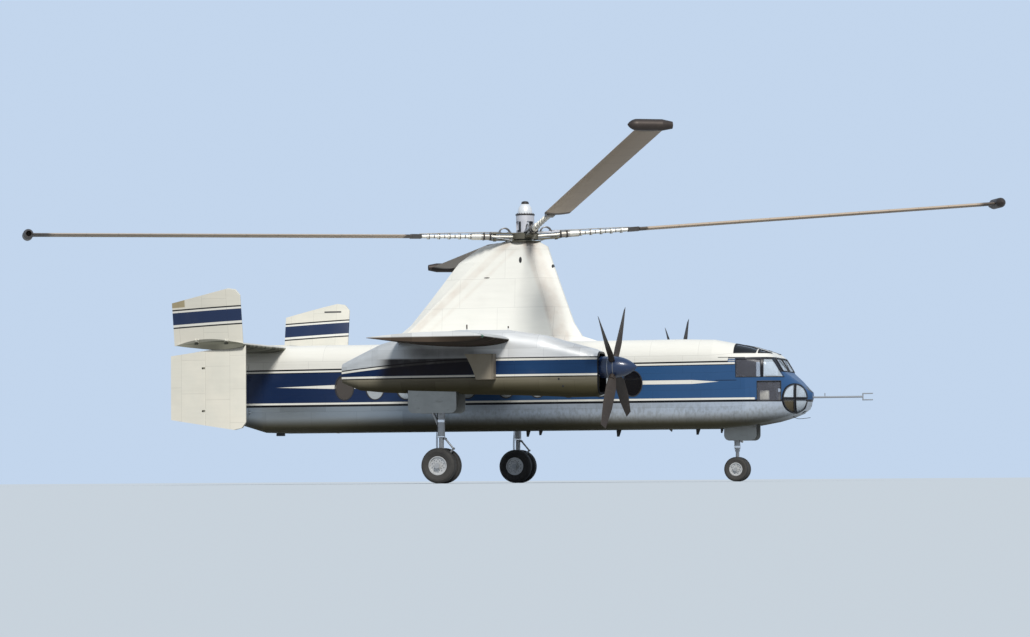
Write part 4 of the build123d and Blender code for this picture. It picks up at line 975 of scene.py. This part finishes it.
class GYRO_OT_propeller_finish(bpy.types.Operator):
    """Finish the propellers and spinners, and put two rings and a circle of studs on each spinner"""

    bl_idname = "gyro.propeller_finish"
    bl_label = "Finish the Propellers"

    def execute(self, context):
        black = plain_finish("Blade Brown", rgb(0.040, 0.028, 0.020), 0.62, 0.0, 30.0, 0.4)
        blue = plain_finish(
            "Spinner Blue", rgb(0.010, 0.028, 0.085), 0.30, 0.0, 30.0, 0.15, Coat_Weight=0.3
        )
        steel = plain_finish("Ring Steel", rgb(0.24, 0.24, 0.25), 0.35, 0.8, 60.0, 0.2)
        dress(("propeller_left", "propeller_right"), black)
        dress(("spinner_left", "spinner_right"), blue)
        dress(("engines",), plain_finish("Engine Metal", rgb(0.05, 0.05, 0.05), 0.5, 0.7, 20.0, 0.4))
        for side, name in SIDES:
            middle = Vector((PROP_X, side * NACELLE_Y, PROP_Z))
            bm = bmesh.new()
            for x in (-0.13, 0.02):
                add_ring(bm, facing((1, 0, 0), middle + Vector((x, 0, 0))), 0.283, 0.007, 0.022, 48)
            for at in round_about(middle + Vector((-0.119, 0, 0)), (1, 0, 0), 0.289, 16):
                out = Vector((0, at.y - middle.y, at.z - middle.z)).normalized()
                add_rod(bm, at, at + out * 0.006, 0.008, segments=8)
            piece("spinner_rings_" + name, bm, steel, name + "_propeller")
        return {"FINISHED"}


class GYRO_OT_gear_finish(bpy.types.Operator):
    """Finish the legs, hubs and tyres, and add bolts, pipes and a lamp"""

    bl_idname = "gyro.gear_finish"
    bl_label = "Finish the Wheels and Legs"

    def execute(self, context):
        groove = fittings().tyre_groove
        leg = plain_finish("Leg Paint", rgb(0.42, 0.43, 0.44), 0.38, 0.35, 30.0, 0.22)
        chrome = plain_finish("Strut Chrome", rgb(0.75, 0.75, 0.76), 0.16, 0.95, 60.0, 0.08)
        rubber = plain_finish("Hose Rubber", rgb(0.020, 0.020, 0.020), 0.6, 0.0, 80.0, 0.3)
        bolt = plain_finish("Bolt Steel", rgb(0.30, 0.29, 0.28), 0.35, 0.85, 80.0, 0.2)
        dress(("main_gear_legs", "nose_gear_leg", "nose_fork"), leg)
        hub = plain_finish("Hub Paint", rgb(0.58, 0.58, 0.57), 0.4, 0.4, 30.0, 0.22)
        dress(("main_hubs_left", "main_hubs_right", "nose_hubs"), hub)
        dress(("main_tyres_left", "main_tyres_right"), tyre_rubber("Main Tyre Rubber", groove, 0.058))
        dress(("nose_tyres",), tyre_rubber("Nose Tyre Rubber", groove * 0.8, 0.042))
        for side, name in SIDES:
            self.main_leg(side, name, chrome, rubber, bolt)
        self.nose_leg(chrome, rubber, bolt)
        return {"FINISHED"}

    def wheel_bolts(self, bm, centre, width, radius, count):
        """Bolts, lightening discs and a valve on both faces of a wheel."""
        for sign in (-1, 1):
            out = Vector((0, sign, 0))
            floor = Vector(centre) + out * (width * 0.26)
            for at in round_about(floor, out, radius, count):
                add_rod(bm, at - out * 0.002, at + out * 0.014, 0.012, segments=6)
            for at in round_about(floor, out, radius * 1.28, count, 0.5):
                add_rod(bm, at - out * 0.002, at + out * 0.003, 0.017)
            valve = floor + Vector((radius * 0.5, 0, radius * 0.75))
            add_rod(bm, valve, valve + out * 0.05, 0.006, segments=8)

    def main_leg(self, side, name, chrome, rubber, bolt):
        """Bands, link bolts and brake pipes of one main leg, and its wheels' bolts."""
        x, y = MAIN_GEAR_X, side * NACELLE_Y
        bm = bmesh.new()
        add_ring(bm, Matrix.Translation((x, y, 1.215)), 0.0665, 0.037, 0.05)
        add_ring(bm, Matrix.Translation((x, y, 0.80)), 0.0665, 0.014, 0.05)
        add_ring(bm, Matrix.Translation((x, y, 1.62)), 0.0955, 0.012, 0.07)
        piece("main_leg_collars_" + name, bm, chrome, "airframe")
        bm = bmesh.new()
        for reach, z in ((0.11, 1.18), (0.33, 0.92), (0.09, 0.636)):
            add_rod(bm, (x + reach, y - 0.045, z), (x + reach, y + 0.045, z), 0.031)
            add_rod(bm, (x + reach, y - 0.06, z), (x + reach, y + 0.06, z), 0.014, segments=6)
        piece("main_leg_bolts_" + name, bm, bolt, "airframe")
        bm = bmesh.new()
        for across in (-0.05, 0.05):
            near = y + across
            line = [
                (x - 0.096, near, 1.95), (x - 0.096, near, 1.5), (x - 0.12, near, 1.28),
                (x - 0.13, near, 1.0), (x - 0.10, near, 0.72), (x - 0.06, y + 1.3 * across, 0.53),
            ]
            add_pipe(bm, line, 0.009, smooth=True)
        piece("brake_pipes_" + name, bm, rubber)
        bm = bmesh.new()
        for offset in (-0.25, 0.25):
            self.wheel_bolts(bm, (x, y + offset, 0.47), 0.29, 0.13, 10)
        piece("main_wheel_bolts_" + name, bm, bolt, name + "_main_wheels")

    def nose_leg(self, chrome, rubber, bolt):
        """Collars, taxi lamp, pipe and bolts of the nose leg."""
        x = NOSE_GEAR_X
        bm = bmesh.new()
        add_ring(bm, Matrix.Translation((x, 0, 0.905)), 0.0785, 0.013, 0.06)
        add_ring(bm, Matrix.Translation((x, 0, 1.27)), 0.0785, 0.010, 0.05)
        piece("nose_leg_collars", bm, chrome, "airframe")
        bm = bmesh.new()
        add_ring(bm, Matrix.Translation((x, 0, 0.60)), 0.0485, 0.014, 0.05)
        piece("nose_fork_collar", bm, chrome, "nose_steering")
        bm = bmesh.new()
        bowl = [(0.0, -0.035), (0.045, -0.03), (0.072, 0.0), (0.075, 0.045), (0.068, 0.048), (0.0, 0.052)]
        add_turned(bm, bowl, facing((1, 0, -0.12), (x + 0.115, 0, 1.12)))
        add_rod(bm, (x + 0.07, 0, 1.12), (x + 0.10, 0, 1.12), 0.022)
        piece("taxi_lamp", bm, lamp_glass("Lamp Clear", rgb(0.70, 0.72, 0.74)), "airframe")
        bm = bmesh.new()
        for offset in (-0.16, 0.16):
            self.wheel_bolts(bm, (x, offset, 0.33), 0.19, 0.095, 8)
        piece("nose_wheel_bolts", bm, bolt, "nose_wheels")
        bm = bmesh.new()
        line = [(x - 0.08, 0.03, 1.5), (x - 0.086, 0.03, 1.25), (x - 0.084, 0.03, 1.0), (x - 0.080, 0.03, 0.90)]
        add_pipe(bm, line, 0.008, smooth=True)
        piece("nose_steering_pipe", bm, rubber)


def oval_ring(bm, centre, half_width, half_height, width, proud):
    """A flat oval frame that stands a little proud of the wall."""
    flat = Matrix.Rotation(math.radians(90), 4, "X")
    rings = []
    for grow in (0.0, width):
        shape = Matrix.Diagonal((half_width + grow, half_height + grow, 1.0, 1.0))
        place = Matrix.Translation(centre) @ flat @ shape
        rings.append(bmesh.ops.create_circle(bm, segments=48, radius=1.0, matrix=place)["verts"])
    edges = list(dict.fromkeys(e for ring in rings for v in ring for e in v.link_edges))
    faces = bmesh.ops.bridge_loops(bm, edges=edges)["faces"]
    out = bmesh.ops.extrude_face_region(bm, geom=faces)["geom"]
    raised = [g for g in out if isinstance(g, bmesh.types.BMVert)]
    bmesh.ops.translate(bm, verts=raised, vec=(0.0, proud, 0.0))


def grown_region(start, seen, limit):
    """The faces that join start without a sharp edge between them."""
    found, waiting = [], [start]
    seen.add(start)
    while waiting:
        face = waiting.pop()
        found.append(face)
        for edge in face.edges:
            for other in edge.link_faces:
                if other not in seen and face.normal.angle(other.normal, 0.0) < limit:
                    seen.add(other)
                    waiting.append(other)
    return found


def pane_outlines(name, centre, out):
    """The outer edge of each pane of a node as a closed line, raised by out from the glass."""
    bm = bmesh.new()
    bm.from_mesh(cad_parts[name].data)
    bmesh.ops.remove_doubles(bm, verts=bm.verts, dist=2e-5)
    bm.normal_update()
    seen, regions = set(), []
    for face in bm.faces:
        if face not in seen:
            regions.append(grown_region(face, seen, math.radians(40)))
    outlines = []
    for region in regions:
        area = sum(face.calc_area() for face in region)
        middle = sum((face.calc_center_median() * face.calc_area() for face in region), Vector()) / area
        away = (middle - Vector(centre)).normalized()
        turned = sum((face.normal * face.calc_area() for face in region), Vector()).normalized()
        if area < 0.012 or turned.dot(away) < 0.25:
            continue
        faces = set(region)
        edges = (e for face in region for e in face.edges)
        rim = dict.fromkeys(e for e in edges if sum(f in faces for f in e.link_faces) == 1)
        outlines.extend(ordered_loops(rim, turned * out))
    bm.free()
    return outlines


def ordered_loops(rim, offset, shortest=0.02):
    """Rim edges as closed lines of points, without points that stand too close together."""
    lines = []
    while rim:
        edge, _ = rim.popitem()
        first, here = edge.verts
        line = [first.co + offset]
        while here != first:
            line.append(here.co + offset)
            ahead = next((e for e in here.link_edges if e in rim), None)
            if ahead is None:
                break
            del rim[ahead]
            here = ahead.other_vert(here)
        kept = [line[0]]
        for point in line[1:]:
            if (point - kept[-1]).length > shortest:
                kept.append(point)
        if len(kept) > 3:
            lines.append(kept)
    return lines


class GYRO_OT_glazing(bpy.types.Operator):
    """Put glass in the cabin and the cockpit, a frame round each oval window and a seal round each pane"""

    bl_idname = "gyro.glazing"
    bl_label = "Glaze the Windows"

    def execute(self, context):
        dress(("cockpit_glazing",), cockpit_glass())
        dress(("cabin_windows",), cabin_glass())
        rubber = plain_finish("Window Seal", rgb(0.018, 0.018, 0.021), 0.55, 0.0, 40.0, 0.3)
        for side, name in SIDES:
            bm = bmesh.new()
            for x in WINDOW_MIDDLES:
                middle = (x, side * 1.371, BELLY + 1.215)
                oval_ring(bm, middle, 0.256, 0.331, fittings().window_frame, 0.006 * side)
            piece("window_frames_" + name, bm, rubber)
        bm = bmesh.new()
        for line in pane_outlines("cockpit_glazing", (6.2, 0, BELLY + 1.0), 0.018):
            add_pipe(bm, line, fittings().pane_seal, closed=True)
        piece("pane_seals", bm, rubber)
        return {"FINISHED"}


def settled(pad):
    """Replaces a pad's mesh by what its modifiers make of it."""
    graph = bpy.context.evaluated_depsgraph_get()
    made = bpy.data.meshes.new_from_object(pad.evaluated_get(graph))
    pad.modifiers.clear()
    pad.data = made
    return made


def stuffed(size, swell=0.016):
    """The mesh of a stuffed pad about the origin: a soft box blown up as cloth, then smoothed."""
    scene = bpy.context.scene
    bm = bmesh.new()
    add_box(bm, (0, 0, 0), tuple(s - swell for s in size), bevel=min(size) * 0.3, rounds=4)
    mesh = bpy.data.meshes.new("pad")
    bm.to_mesh(mesh)
    bm.free()
    pad = bpy.data.objects.new("pad", mesh)
    scene.collection.objects.link(pad)
    voxels = pad.modifiers.new("voxels", "REMESH")
    voxels.mode = "VOXEL"
    voxels.voxel_size = fittings().cushion_voxel
    start = [v.co.copy() for v in settled(pad).vertices]
    cloth = pad.modifiers.new("cloth", "CLOTH")
    cloth.settings.use_pressure = True
    cloth.settings.uniform_pressure_force = 4.0
    cloth.settings.effector_weights.gravity = 0.0
    cloth.settings.quality = 4
    for number in range(1, 21):
        scene.frame_set(number)
    for vertex, rest in zip(settled(pad).vertices, start):
        move = vertex.co - rest
        if move.length > swell:
            vertex.co = rest + move.normalized() * swell
    scene.frame_set(1)
    bm = bmesh.new()
    bm.from_mesh(pad.data)
    bpy.data.objects.remove(pad)
    for _ in range(3):
        bmesh.ops.smooth_vert(
            bm, verts=bm.verts, factor=0.5, use_axis_x=True, use_axis_y=True, use_axis_z=True
        )
    spans = [max(v.co[i] for v in bm.verts) - min(v.co[i] for v in bm.verts) for i in range(3)]
    fit = [min(1.0, s / span) for s, span in zip(size, spans)]
    bmesh.ops.scale(bm, vec=fit, verts=bm.verts)
    return bm


class GYRO_OT_cockpit(bpy.types.Operator):
    """Fit the cockpit's dials, levers, control columns and padded seats"""

    bl_idname = "gyro.cockpit"
    bl_label = "Fit Out the Cockpit"

    def execute(self, context):
        dress(("cockpit_fittings",), plain_finish("Cockpit Grey", rgb(0.050, 0.054, 0.055), 0.55, 0.1, 40.0))
        metal = plain_finish("Tube Metal", rgb(0.22, 0.23, 0.22), 0.4, 0.6, 40.0, 0.25)
        black = plain_finish("Control Black", rgb(0.018, 0.018, 0.018), 0.4, 0.0, 60.0, 0.3)
        self.seats(metal, leather())
        self.panel(black, metal)
        self.controls(black)
        return {"FINISHED"}

    def seats(self, metal, hide):
        """A tube frame, a seat pad and a back pad on each side."""
        for kind, size, x, z in (
            ("seat_pad_", (0.46, 0.43, 0.10), 6.18, 2.262), ("seat_back_", (0.10, 0.43, 0.60), 5.945, 2.625),
        ):
            source = stuffed(size)
            for side, name in SIDES:
                bm = source.copy()
                bmesh.ops.translate(bm, verts=bm.verts, vec=(x, side * SEAT_Y, z))
                made = piece(kind + name, bm, hide, "airframe", 60.0, ("cockpit_seats",))
            source.free()
        bm = bmesh.new()
        for side, _ in SIDES:
            y = side * SEAT_Y
            for edge in (y - 0.19, y + 0.19):
                run = [
                    (6.36, edge, 1.865), (6.30, edge, 2.185), (5.99, edge, 2.195), (5.895, edge, 2.26),
                    (5.893, edge, 2.9),
                ]
                add_pipe(bm, run, 0.013)
                add_pipe(bm, [(5.99, edge, 1.865), (6.02, edge, 2.19)], 0.013)
            for x, z in ((6.30, 2.185), (6.03, 2.19), (5.893, 2.88)):
                add_pipe(bm, [(x, y - 0.19, z), (x, y + 0.19, z)], 0.013)
            add_box(bm, (6.18, y, 2.203), (0.42, 0.40, 0.012), bevel=0.004)
        piece("seat_frames", bm, metal, "airframe", stands_for=("cockpit_seats",))

    def panel(self, black, metal):
        """Dials in bezels on the panel, and a hood over it."""
        rims, dials, hood = bmesh.new(), bmesh.new(), bmesh.new()
        for side, _ in SIDES:
            for y in (0.26, 0.38, 0.50, 0.62, 0.74):
                for z in (BELLY + 1.165, BELLY + 1.295):
                    add_ring(rims, facing((-1, 0, 0), (6.922, side * y, z)), 0.038, 0.010, 0.012, 20)
                    add_rod(dials, (6.923, side * y, z), (6.916, side * y, z), 0.0385, segments=20)
        add_box(hood, (6.93, 0, BELLY + 1.405), (0.20, 1.60, 0.022), bevel=0.009)
        piece("dial_bezels", rims, metal, "airframe")
        piece("dial_faces", dials, black)
        piece("panel_hood", hood, black)

    def controls(self, black):
        """Columns with handwheels, levers on the middle stand, and a box on struts at each side."""
        bm = bmesh.new()
        for side, _ in SIDES:
            y = side * SEAT_Y
            add_pipe(bm, [(6.55, y, 1.855), (6.63, y, 2.3), (6.58, y, 2.42)], 0.016)
            wheel = arc_points((6.575, y, 2.43), 0.14, -220, 40, 13, (0, 1, 0), (0, 0, 1))
            add_pipe(bm, wheel, 0.012)
            add_pipe(bm, [wheel[0], (6.58, y, 2.42), wheel[-1]], 0.011)
        for y in (-0.09, -0.03, 0.03, 0.09):
            add_rod(bm, (6.74, y, 2.755), (6.70, y, 2.86), 0.006)
            add_rod(bm, (6.70, y - 0.018, 2.86), (6.70, y + 0.018, 2.86), 0.013)
        piece("flight_controls", bm, black)
        bm = bmesh.new()
        for side, _ in SIDES:
            add_box(bm, (6.83, side * 0.80, BELLY + 0.87), (0.24, 0.16, 0.25), bevel=0.012)
            for y in (0.75, 0.85):
                add_pipe(bm, [(6.57, side * y, 1.85), (6.76, side * y, BELLY + 0.76)], 0.012)
        cream = plain_finish("Box Cream", rgb(0.86, 0.85, 0.76), 0.5, 0.0, 50.0, 0.15)
        piece("side_boxes", bm, cream, "airframe")


def blade_frame(index, flapped=True):
    """The placement of a blade's hinge line: its X runs out along the blade."""
    bearing = math.radians(BLADE_BEARING - 90 * index + BLADE_DRAGS[index])
    place = Matrix.Translation((0, 0, ROTOR_HEIGHT)) @ Matrix.Rotation(bearing, 4, "Z")
    if flapped:
        place = place @ Matrix.Rotation(math.radians(-BLADE_FLAPS[index]), 4, "Y")
    return place


class GYRO_OT_rotor_head(bpy.types.Operator):
    """Add the pipe loops, rings, bolts, rods and the top knob of the rotor head"""

    bl_idname = "gyro.rotor_head"
    bl_label = "Dress the Rotor Head"

    def execute(self, context):
        self.pipes()
        self.dark_fittings()
        self.rods()
        return {"FINISHED"}

    def pipes(self):
        """A pair of loops over each hinge, and a pipe along each arm."""
        radius, thin = fittings().loop_radius, fittings().pipe_radius
        bm = bmesh.new()
        for index in range(4):
            place = blade_frame(index)
            for across in (-0.07, 0.07):
                arch = arc_points((0.58, across, 0.085), radius, 0, 180, 14)
                add_pipe(bm, [place @ p for p in arch], thin)
                for x in (0.58 - radius, 0.58 + radius):
                    foot = [place @ Vector((x, across, z)) for z in (0.085, 0.135)]
                    add_rod(bm, *foot, thin * 1.7)
            run = (
                (0.78, 0.06, 0.12), (1.1, 0.07, 0.115), (1.55, 0.07, 0.10), (2.2, 0.055, 0.092),
                (2.95, 0.05, 0.065),
            )
            add_pipe(bm, [place @ Vector(p) for p in run], thin * 0.8, smooth=True)
        pipe = plain_finish("Pipe Metal", rgb(0.17, 0.165, 0.16), 0.38, 0.6, 30.0, 0.3)
        piece("rotor_head_pipes", bm, pipe, "rotor")

    def dark_fittings(self):
        """The ring and bolts of the drum, the knob on the cap, plate bolts, and clamps on each arm."""
        bm = bmesh.new()
        add_ring(bm, Matrix.Translation((0, 0, BELLY + 5.915)), 0.2505, 0.014, 0.04, 56)
        knob = [(0.0, -0.02), (0.10, -0.02), (0.106, 0.025), (0.085, 0.065), (0.0, 0.085)]
        add_turned(bm, knob, Matrix.Translation((0, 0, BELLY + 6.235)))
        for at in round_about((0, 0, BELLY + 5.96), (0, 0, 1), 0.226, 18):
            add_rod(bm, at - Vector((0, 0, 0.001)), at + Vector((0, 0, 0.018)), 0.011, segments=6)
        for index in range(4):
            place = blade_frame(index)
            for x in (0.50, 0.68):
                for across in (-0.03, 0.03):
                    low, high = (place @ Vector((x, across, z)) for z in (0.107, 0.125))
                    add_rod(bm, low, high, 0.013, segments=6)
            for x in (0.985, 1.16):
                add_box(bm, place @ Vector((x, 0, 0)), (0.045, 0.215, 0.20), place.to_3x3().to_4x4(), 0.012)
        dark = plain_finish("Head Dark", rgb(0.030, 0.025, 0.022), 0.45, 0.3, 30.0, 0.35)
        piece("rotor_head_dark", bm, dark, "rotor")

    def rods(self):
        """A pitch rod with two ends at each arm."""
        bm = bmesh.new()
        for index in range(4):
            place = blade_frame(index)
            low = blade_frame(index, False) @ Vector((0.40, 0.115, -0.11))
            high = place @ Vector((0.90, 0.135, -0.02))
            add_rod(bm, low, high, 0.013)
            for at in (low, high):
                add_rod(bm, at - Vector((0, 0, 0.024)), at + Vector((0, 0, 0.02)), 0.026)
            add_rod(bm, place @ Vector((0.90, 0.05, -0.02)), high, 0.020)
        steel = plain_finish("Head Steel", rgb(0.46, 0.45, 0.43), 0.34, 0.7, 40.0, 0.25)
        piece("rotor_head_rods", bm, steel, "rotor")


class GYRO_OT_small_fittings(bpy.types.Operator):
    """Add the wipers, handles, lamps, filler caps and the chin aerial"""

    bl_idname = "gyro.small_fittings"
    bl_label = "Add Small Fittings"

    def execute(self, context):
        black = plain_finish("Fitting Black", rgb(0.020, 0.020, 0.020), 0.45, 0.1, 60.0, 0.3)
        steel = plain_finish("Fitting Steel", rgb(0.38, 0.38, 0.37), 0.35, 0.7, 60.0, 0.25)
        self.wipers(black)
        self.handles(steel)
        self.lamps()
        self.aerial_and_caps(black)
        return {"FINISHED"}

    def wipers(self, black):
        """One wiper on each windscreen pane."""
        bm = bmesh.new()
        for side, _ in SIDES:
            line = []
            for y, z in ((0.12, 1.53), (0.22, 1.62), (0.32, 1.71), (0.42, 1.80)):
                at, out = skin_hit("cockpit_glazing", (9.0, side * y, BELLY + z), (-1, 0, 0))
                line.append(at + out * 0.010)
            add_pipe(bm, line, 0.007)
            add_rod(bm, line[0] - Vector((0.03, 0, 0.012)), line[0] + Vector((0.012, 0, 0.004)), 0.018)
        piece("wipers", bm, black)

    def handles(self, steel):
        """Handles on the passenger door and the two tail doors."""
        bm = bmesh.new()
        at, out = skin_hit("passenger_door", (4.30, 3.0, BELLY + 1.02), (0, -1, 0))
        for x in (-0.06, 0.06):
            foot = at + Vector((x, 0, 0))
            add_rod(bm, foot - out * 0.004, foot + out * 0.034, 0.010)
        add_box(bm, at + out * 0.034, (0.17, 0.014, 0.026), bevel=0.005)
        piece("door_handle", bm, steel, "front_door")
        for side, name in SIDES:
            bm = bmesh.new()
            start = (-8.9, side * 3.0, BELLY + 1.30)
            at, out = skin_hit("clamshell_door_" + name, start, (0, -side, 0))
            add_rod(bm, at - out * 0.004, at + out * 0.03, 0.011)
            add_box(bm, at + out * 0.03, (0.022, 0.16, 0.03), facing(out), 0.005)
            piece("clamshell_handle_" + name, bm, steel, name + "_clamshell_door")

    def lamps(self):
        """Red and green wing lamps and a white tail lamp."""
        lens = [(0.0, -0.03), (0.040, -0.03), (0.040, 0.02), (0.031, 0.046), (0.014, 0.060), (0.0, 0.062)]
        for side, name in SIDES:
            colour = rgb(0.55, 0.012, 0.012) if side > 0 else rgb(0.008, 0.10, 0.035)
            bm = bmesh.new()
            at, _ = skin_hit("wing", (3.0, side * 6.95, BELLY + 2.33), (-1, 0, 0))
            add_turned(bm, lens, facing((1, 0, 0), at - Vector((0.02, 0, 0))), 24)
            piece("wing_lamp_" + name, bm, lamp_glass("Lamp " + name.title(), colour), "airframe")
        bm = bmesh.new()
        at, _ = skin_hit("tail_cone", (-12.0, 0.03, BELLY + 2.05), (1, 0, 0))
        low = [(0.0, -0.03), (0.050, -0.03), (0.050, -0.006), (0.036, 0.0), (0.0, 0.002)]
        add_turned(bm, low, facing((-1, 0, 0), (at.x, 0, at.z)), 24)
        piece("tail_lamp", bm, lamp_glass("Lamp White", rgb(0.75, 0.75, 0.72)), "airframe")

    def aerial_and_caps(self, black):
        """A thin curved aerial under the chin, and two filler caps on each nacelle."""
        bm = bmesh.new()
        low, _ = skin_hit("nose_shell", (7.45, 0.02, 0.5), (0, 0, 1))
        low.y = 0.0
        run = [(-0.01, 0.02), (0.05, -0.055), (0.22, -0.07), (0.46, -0.035)]
        add_pipe(bm, [low + Vector((x, 0, z)) for x, z in run], 0.007, smooth=True)
        add_rod(bm, low + Vector((0, 0, 0.01)), low + Vector((0.02, 0, -0.03)), 0.018, 0.012)
        piece("chin_aerial", bm, black)
        bm = bmesh.new()
        for side, name in SIDES:
            for x, z in ((2.08, 1.28), (2.19, 1.09)):
                at, out = skin_hit("nacelle_" + name, (x, side * 6.0, BELLY + z), (0, -side, 0))
                add_ring(bm, facing(out, at - out * 0.002), 0.016, 0.012, 0.008, 20)
                add_rod(bm, at - out * 0.002, at + out * 0.003, 0.017)
        piece("filler_caps", bm, black)


def seen_directly(tree):
    """1 for what the camera sees, also in a reflection or through glass."""
    path = node(tree, "ShaderNodeLightPath").outputs
    seen = calc(tree, "MAXIMUM", path["Is Camera Ray"], path["Is Glossy Ray"])
    return calc(tree, "MAXIMUM", seen, path["Is Transmission Ray"])


class GYRO_OT_studio(bpy.types.Operator):
    """Lay the pale floor, hang the soft lamps and place the camera"""

    bl_idname = "gyro.studio"
    bl_label = "Set Up the Studio"

    def execute(self, context):
        scene = context.scene
        wishes = scene.gyro_studio
        scene.view_settings.view_transform = "Standard"
        self.floor(scene, wishes)
        self.light(scene, wishes)
        camera = bpy.data.cameras.new("photo_camera")
        camera.lens = wishes.lens
        camera.sensor_width = 36.0
        camera.clip_end = 3000.0
        view = bpy.data.objects.new("photo_camera", camera)
        eye = Vector((26.18, -95.37, 0.06))
        aim = Vector((-0.309, 0.0, 4.517))
        turn = (aim - eye).to_track_quat("-Z", "Y").to_matrix().to_4x4()
        roll = Matrix.Rotation(math.radians(-0.385), 4, "Z")
        view.matrix_world = Matrix.Translation(eye) @ turn @ roll
        scene.collection.objects.link(view)
        scene.camera = view
        return {"FINISHED"}

    def floor(self, scene, wishes):
        """A floor that looks pale, and sends less light up than it shows."""
        bm = bmesh.new()
        place = Matrix.Translation((0, 0, -0.002))
        bmesh.ops.create_grid(bm, x_segments=1, y_segments=1, size=900.0, matrix=place)
        mesh = bpy.data.meshes.new("studio_floor")
        bm.to_mesh(mesh)
        bm.free()
        floor = bpy.data.objects.new("studio_floor", mesh)
        scene.collection.objects.link(floor)
        material = bpy.data.materials.new("Studio Floor")
        mesh.materials.append(material)
        material.use_nodes = True
        tree = material.node_tree
        colour = blend(tree, seen_directly(tree), (*wishes.floor_bounce, 1.0), (*wishes.floor, 1.0))
        shader = tree.nodes["Principled BSDF"]
        tree.links.new(colour, shader.inputs["Base Color"])
        shader.inputs["Roughness"].default_value = 0.9
        shader.inputs["Specular IOR Level"].default_value = 0.0

    def light(self, scene, wishes):
        """A soft sun from high on the camera's side, and an even sky with a pale backdrop."""
        sun = bpy.data.lights.new("soft_sun", "SUN")
        sun.energy = wishes.key_power
        sun.angle = math.radians(14)
        sun.color = (1.0, 0.975, 0.93)
        lamp = bpy.data.objects.new("soft_sun", sun)
        lamp.rotation_euler = (math.radians(51), 0.0, math.radians(26))
        scene.collection.objects.link(lamp)
        world = bpy.data.worlds.new("studio_world")
        scene.world = world
        world.use_nodes = True
        tree = world.node_tree
        back = tree.nodes["Background"]
        back.inputs["Color"].default_value = (*wishes.sky, 1.0)
        back.inputs["Strength"].default_value = wishes.fill_power
        seen = node(tree, "ShaderNodeBackground", {"Color": (*wishes.backdrop, 1.0), "Strength": 1.0})
        sources = {0: seen_directly(tree), 1: back.outputs[0], 2: seen.outputs[0]}
        mix = node(tree, "ShaderNodeMixShader", sources)
        tree.links.new(mix.outputs[0], tree.nodes["World Output"].inputs["Surface"])


PIECE_OPERATORS = (
    GYRO_OT_body_paint,
    GYRO_OT_metal_skins,
    GYRO_OT_tail_paint,
    GYRO_OT_rotor_finish,
    GYRO_OT_propeller_finish,
    GYRO_OT_gear_finish,
    GYRO_OT_glazing,
    GYRO_OT_cockpit,
    GYRO_OT_rotor_head,
    GYRO_OT_small_fittings,
    GYRO_OT_studio,
)

SETTINGS = {
    "gyro_livery": GYRO_PG_livery,
    "gyro_fittings": GYRO_PG_fittings,
    "gyro_studio": GYRO_PG_studio,
}


class GYRO_PT_panel(bpy.types.Panel):
    """Lists the steps that dress the gyrodyne, and its settings."""

    bl_idname = "GYRO_PT_panel"
    bl_label = "Gyrodyne"
    bl_space_type = "VIEW_3D"
    bl_region_type = "UI"
    bl_category = "Gyrodyne"

    def draw(self, context):
        for name, kind in SETTINGS.items():
            box = self.layout.box()
            for setting in kind.__annotations__:
                box.prop(getattr(context.scene, name), setting)
        for step in PIECE_OPERATORS:
            self.layout.operator(step.bl_idname)


def register():
    for kind in (*SETTINGS.values(), *PIECE_OPERATORS, GYRO_PT_panel):
        bpy.utils.register_class(kind)
    for name, kind in SETTINGS.items():
        setattr(bpy.types.Scene, name, bpy.props.PointerProperty(type=kind))


def unregister():
    for name in SETTINGS:
        delattr(bpy.types.Scene, name)
    for kind in reversed((*SETTINGS.values(), *PIECE_OPERATORS, GYRO_PT_panel)):
        bpy.utils.unregister_class(kind)


def clear_start_scene():
    """Take out what a new file holds: its cube, lamp and camera."""
    for name in ("Cube", "Light", "Camera"):
        if name in bpy.data.objects:
            bpy.data.objects.remove(bpy.data.objects[name])


def main():
    clear_start_scene()
    register()
    for step in PIECE_OPERATORS:
        group_name, call = step.bl_idname.split(".")
        getattr(getattr(bpy.ops, group_name), call)()


if __name__ == "__main__":
    main()
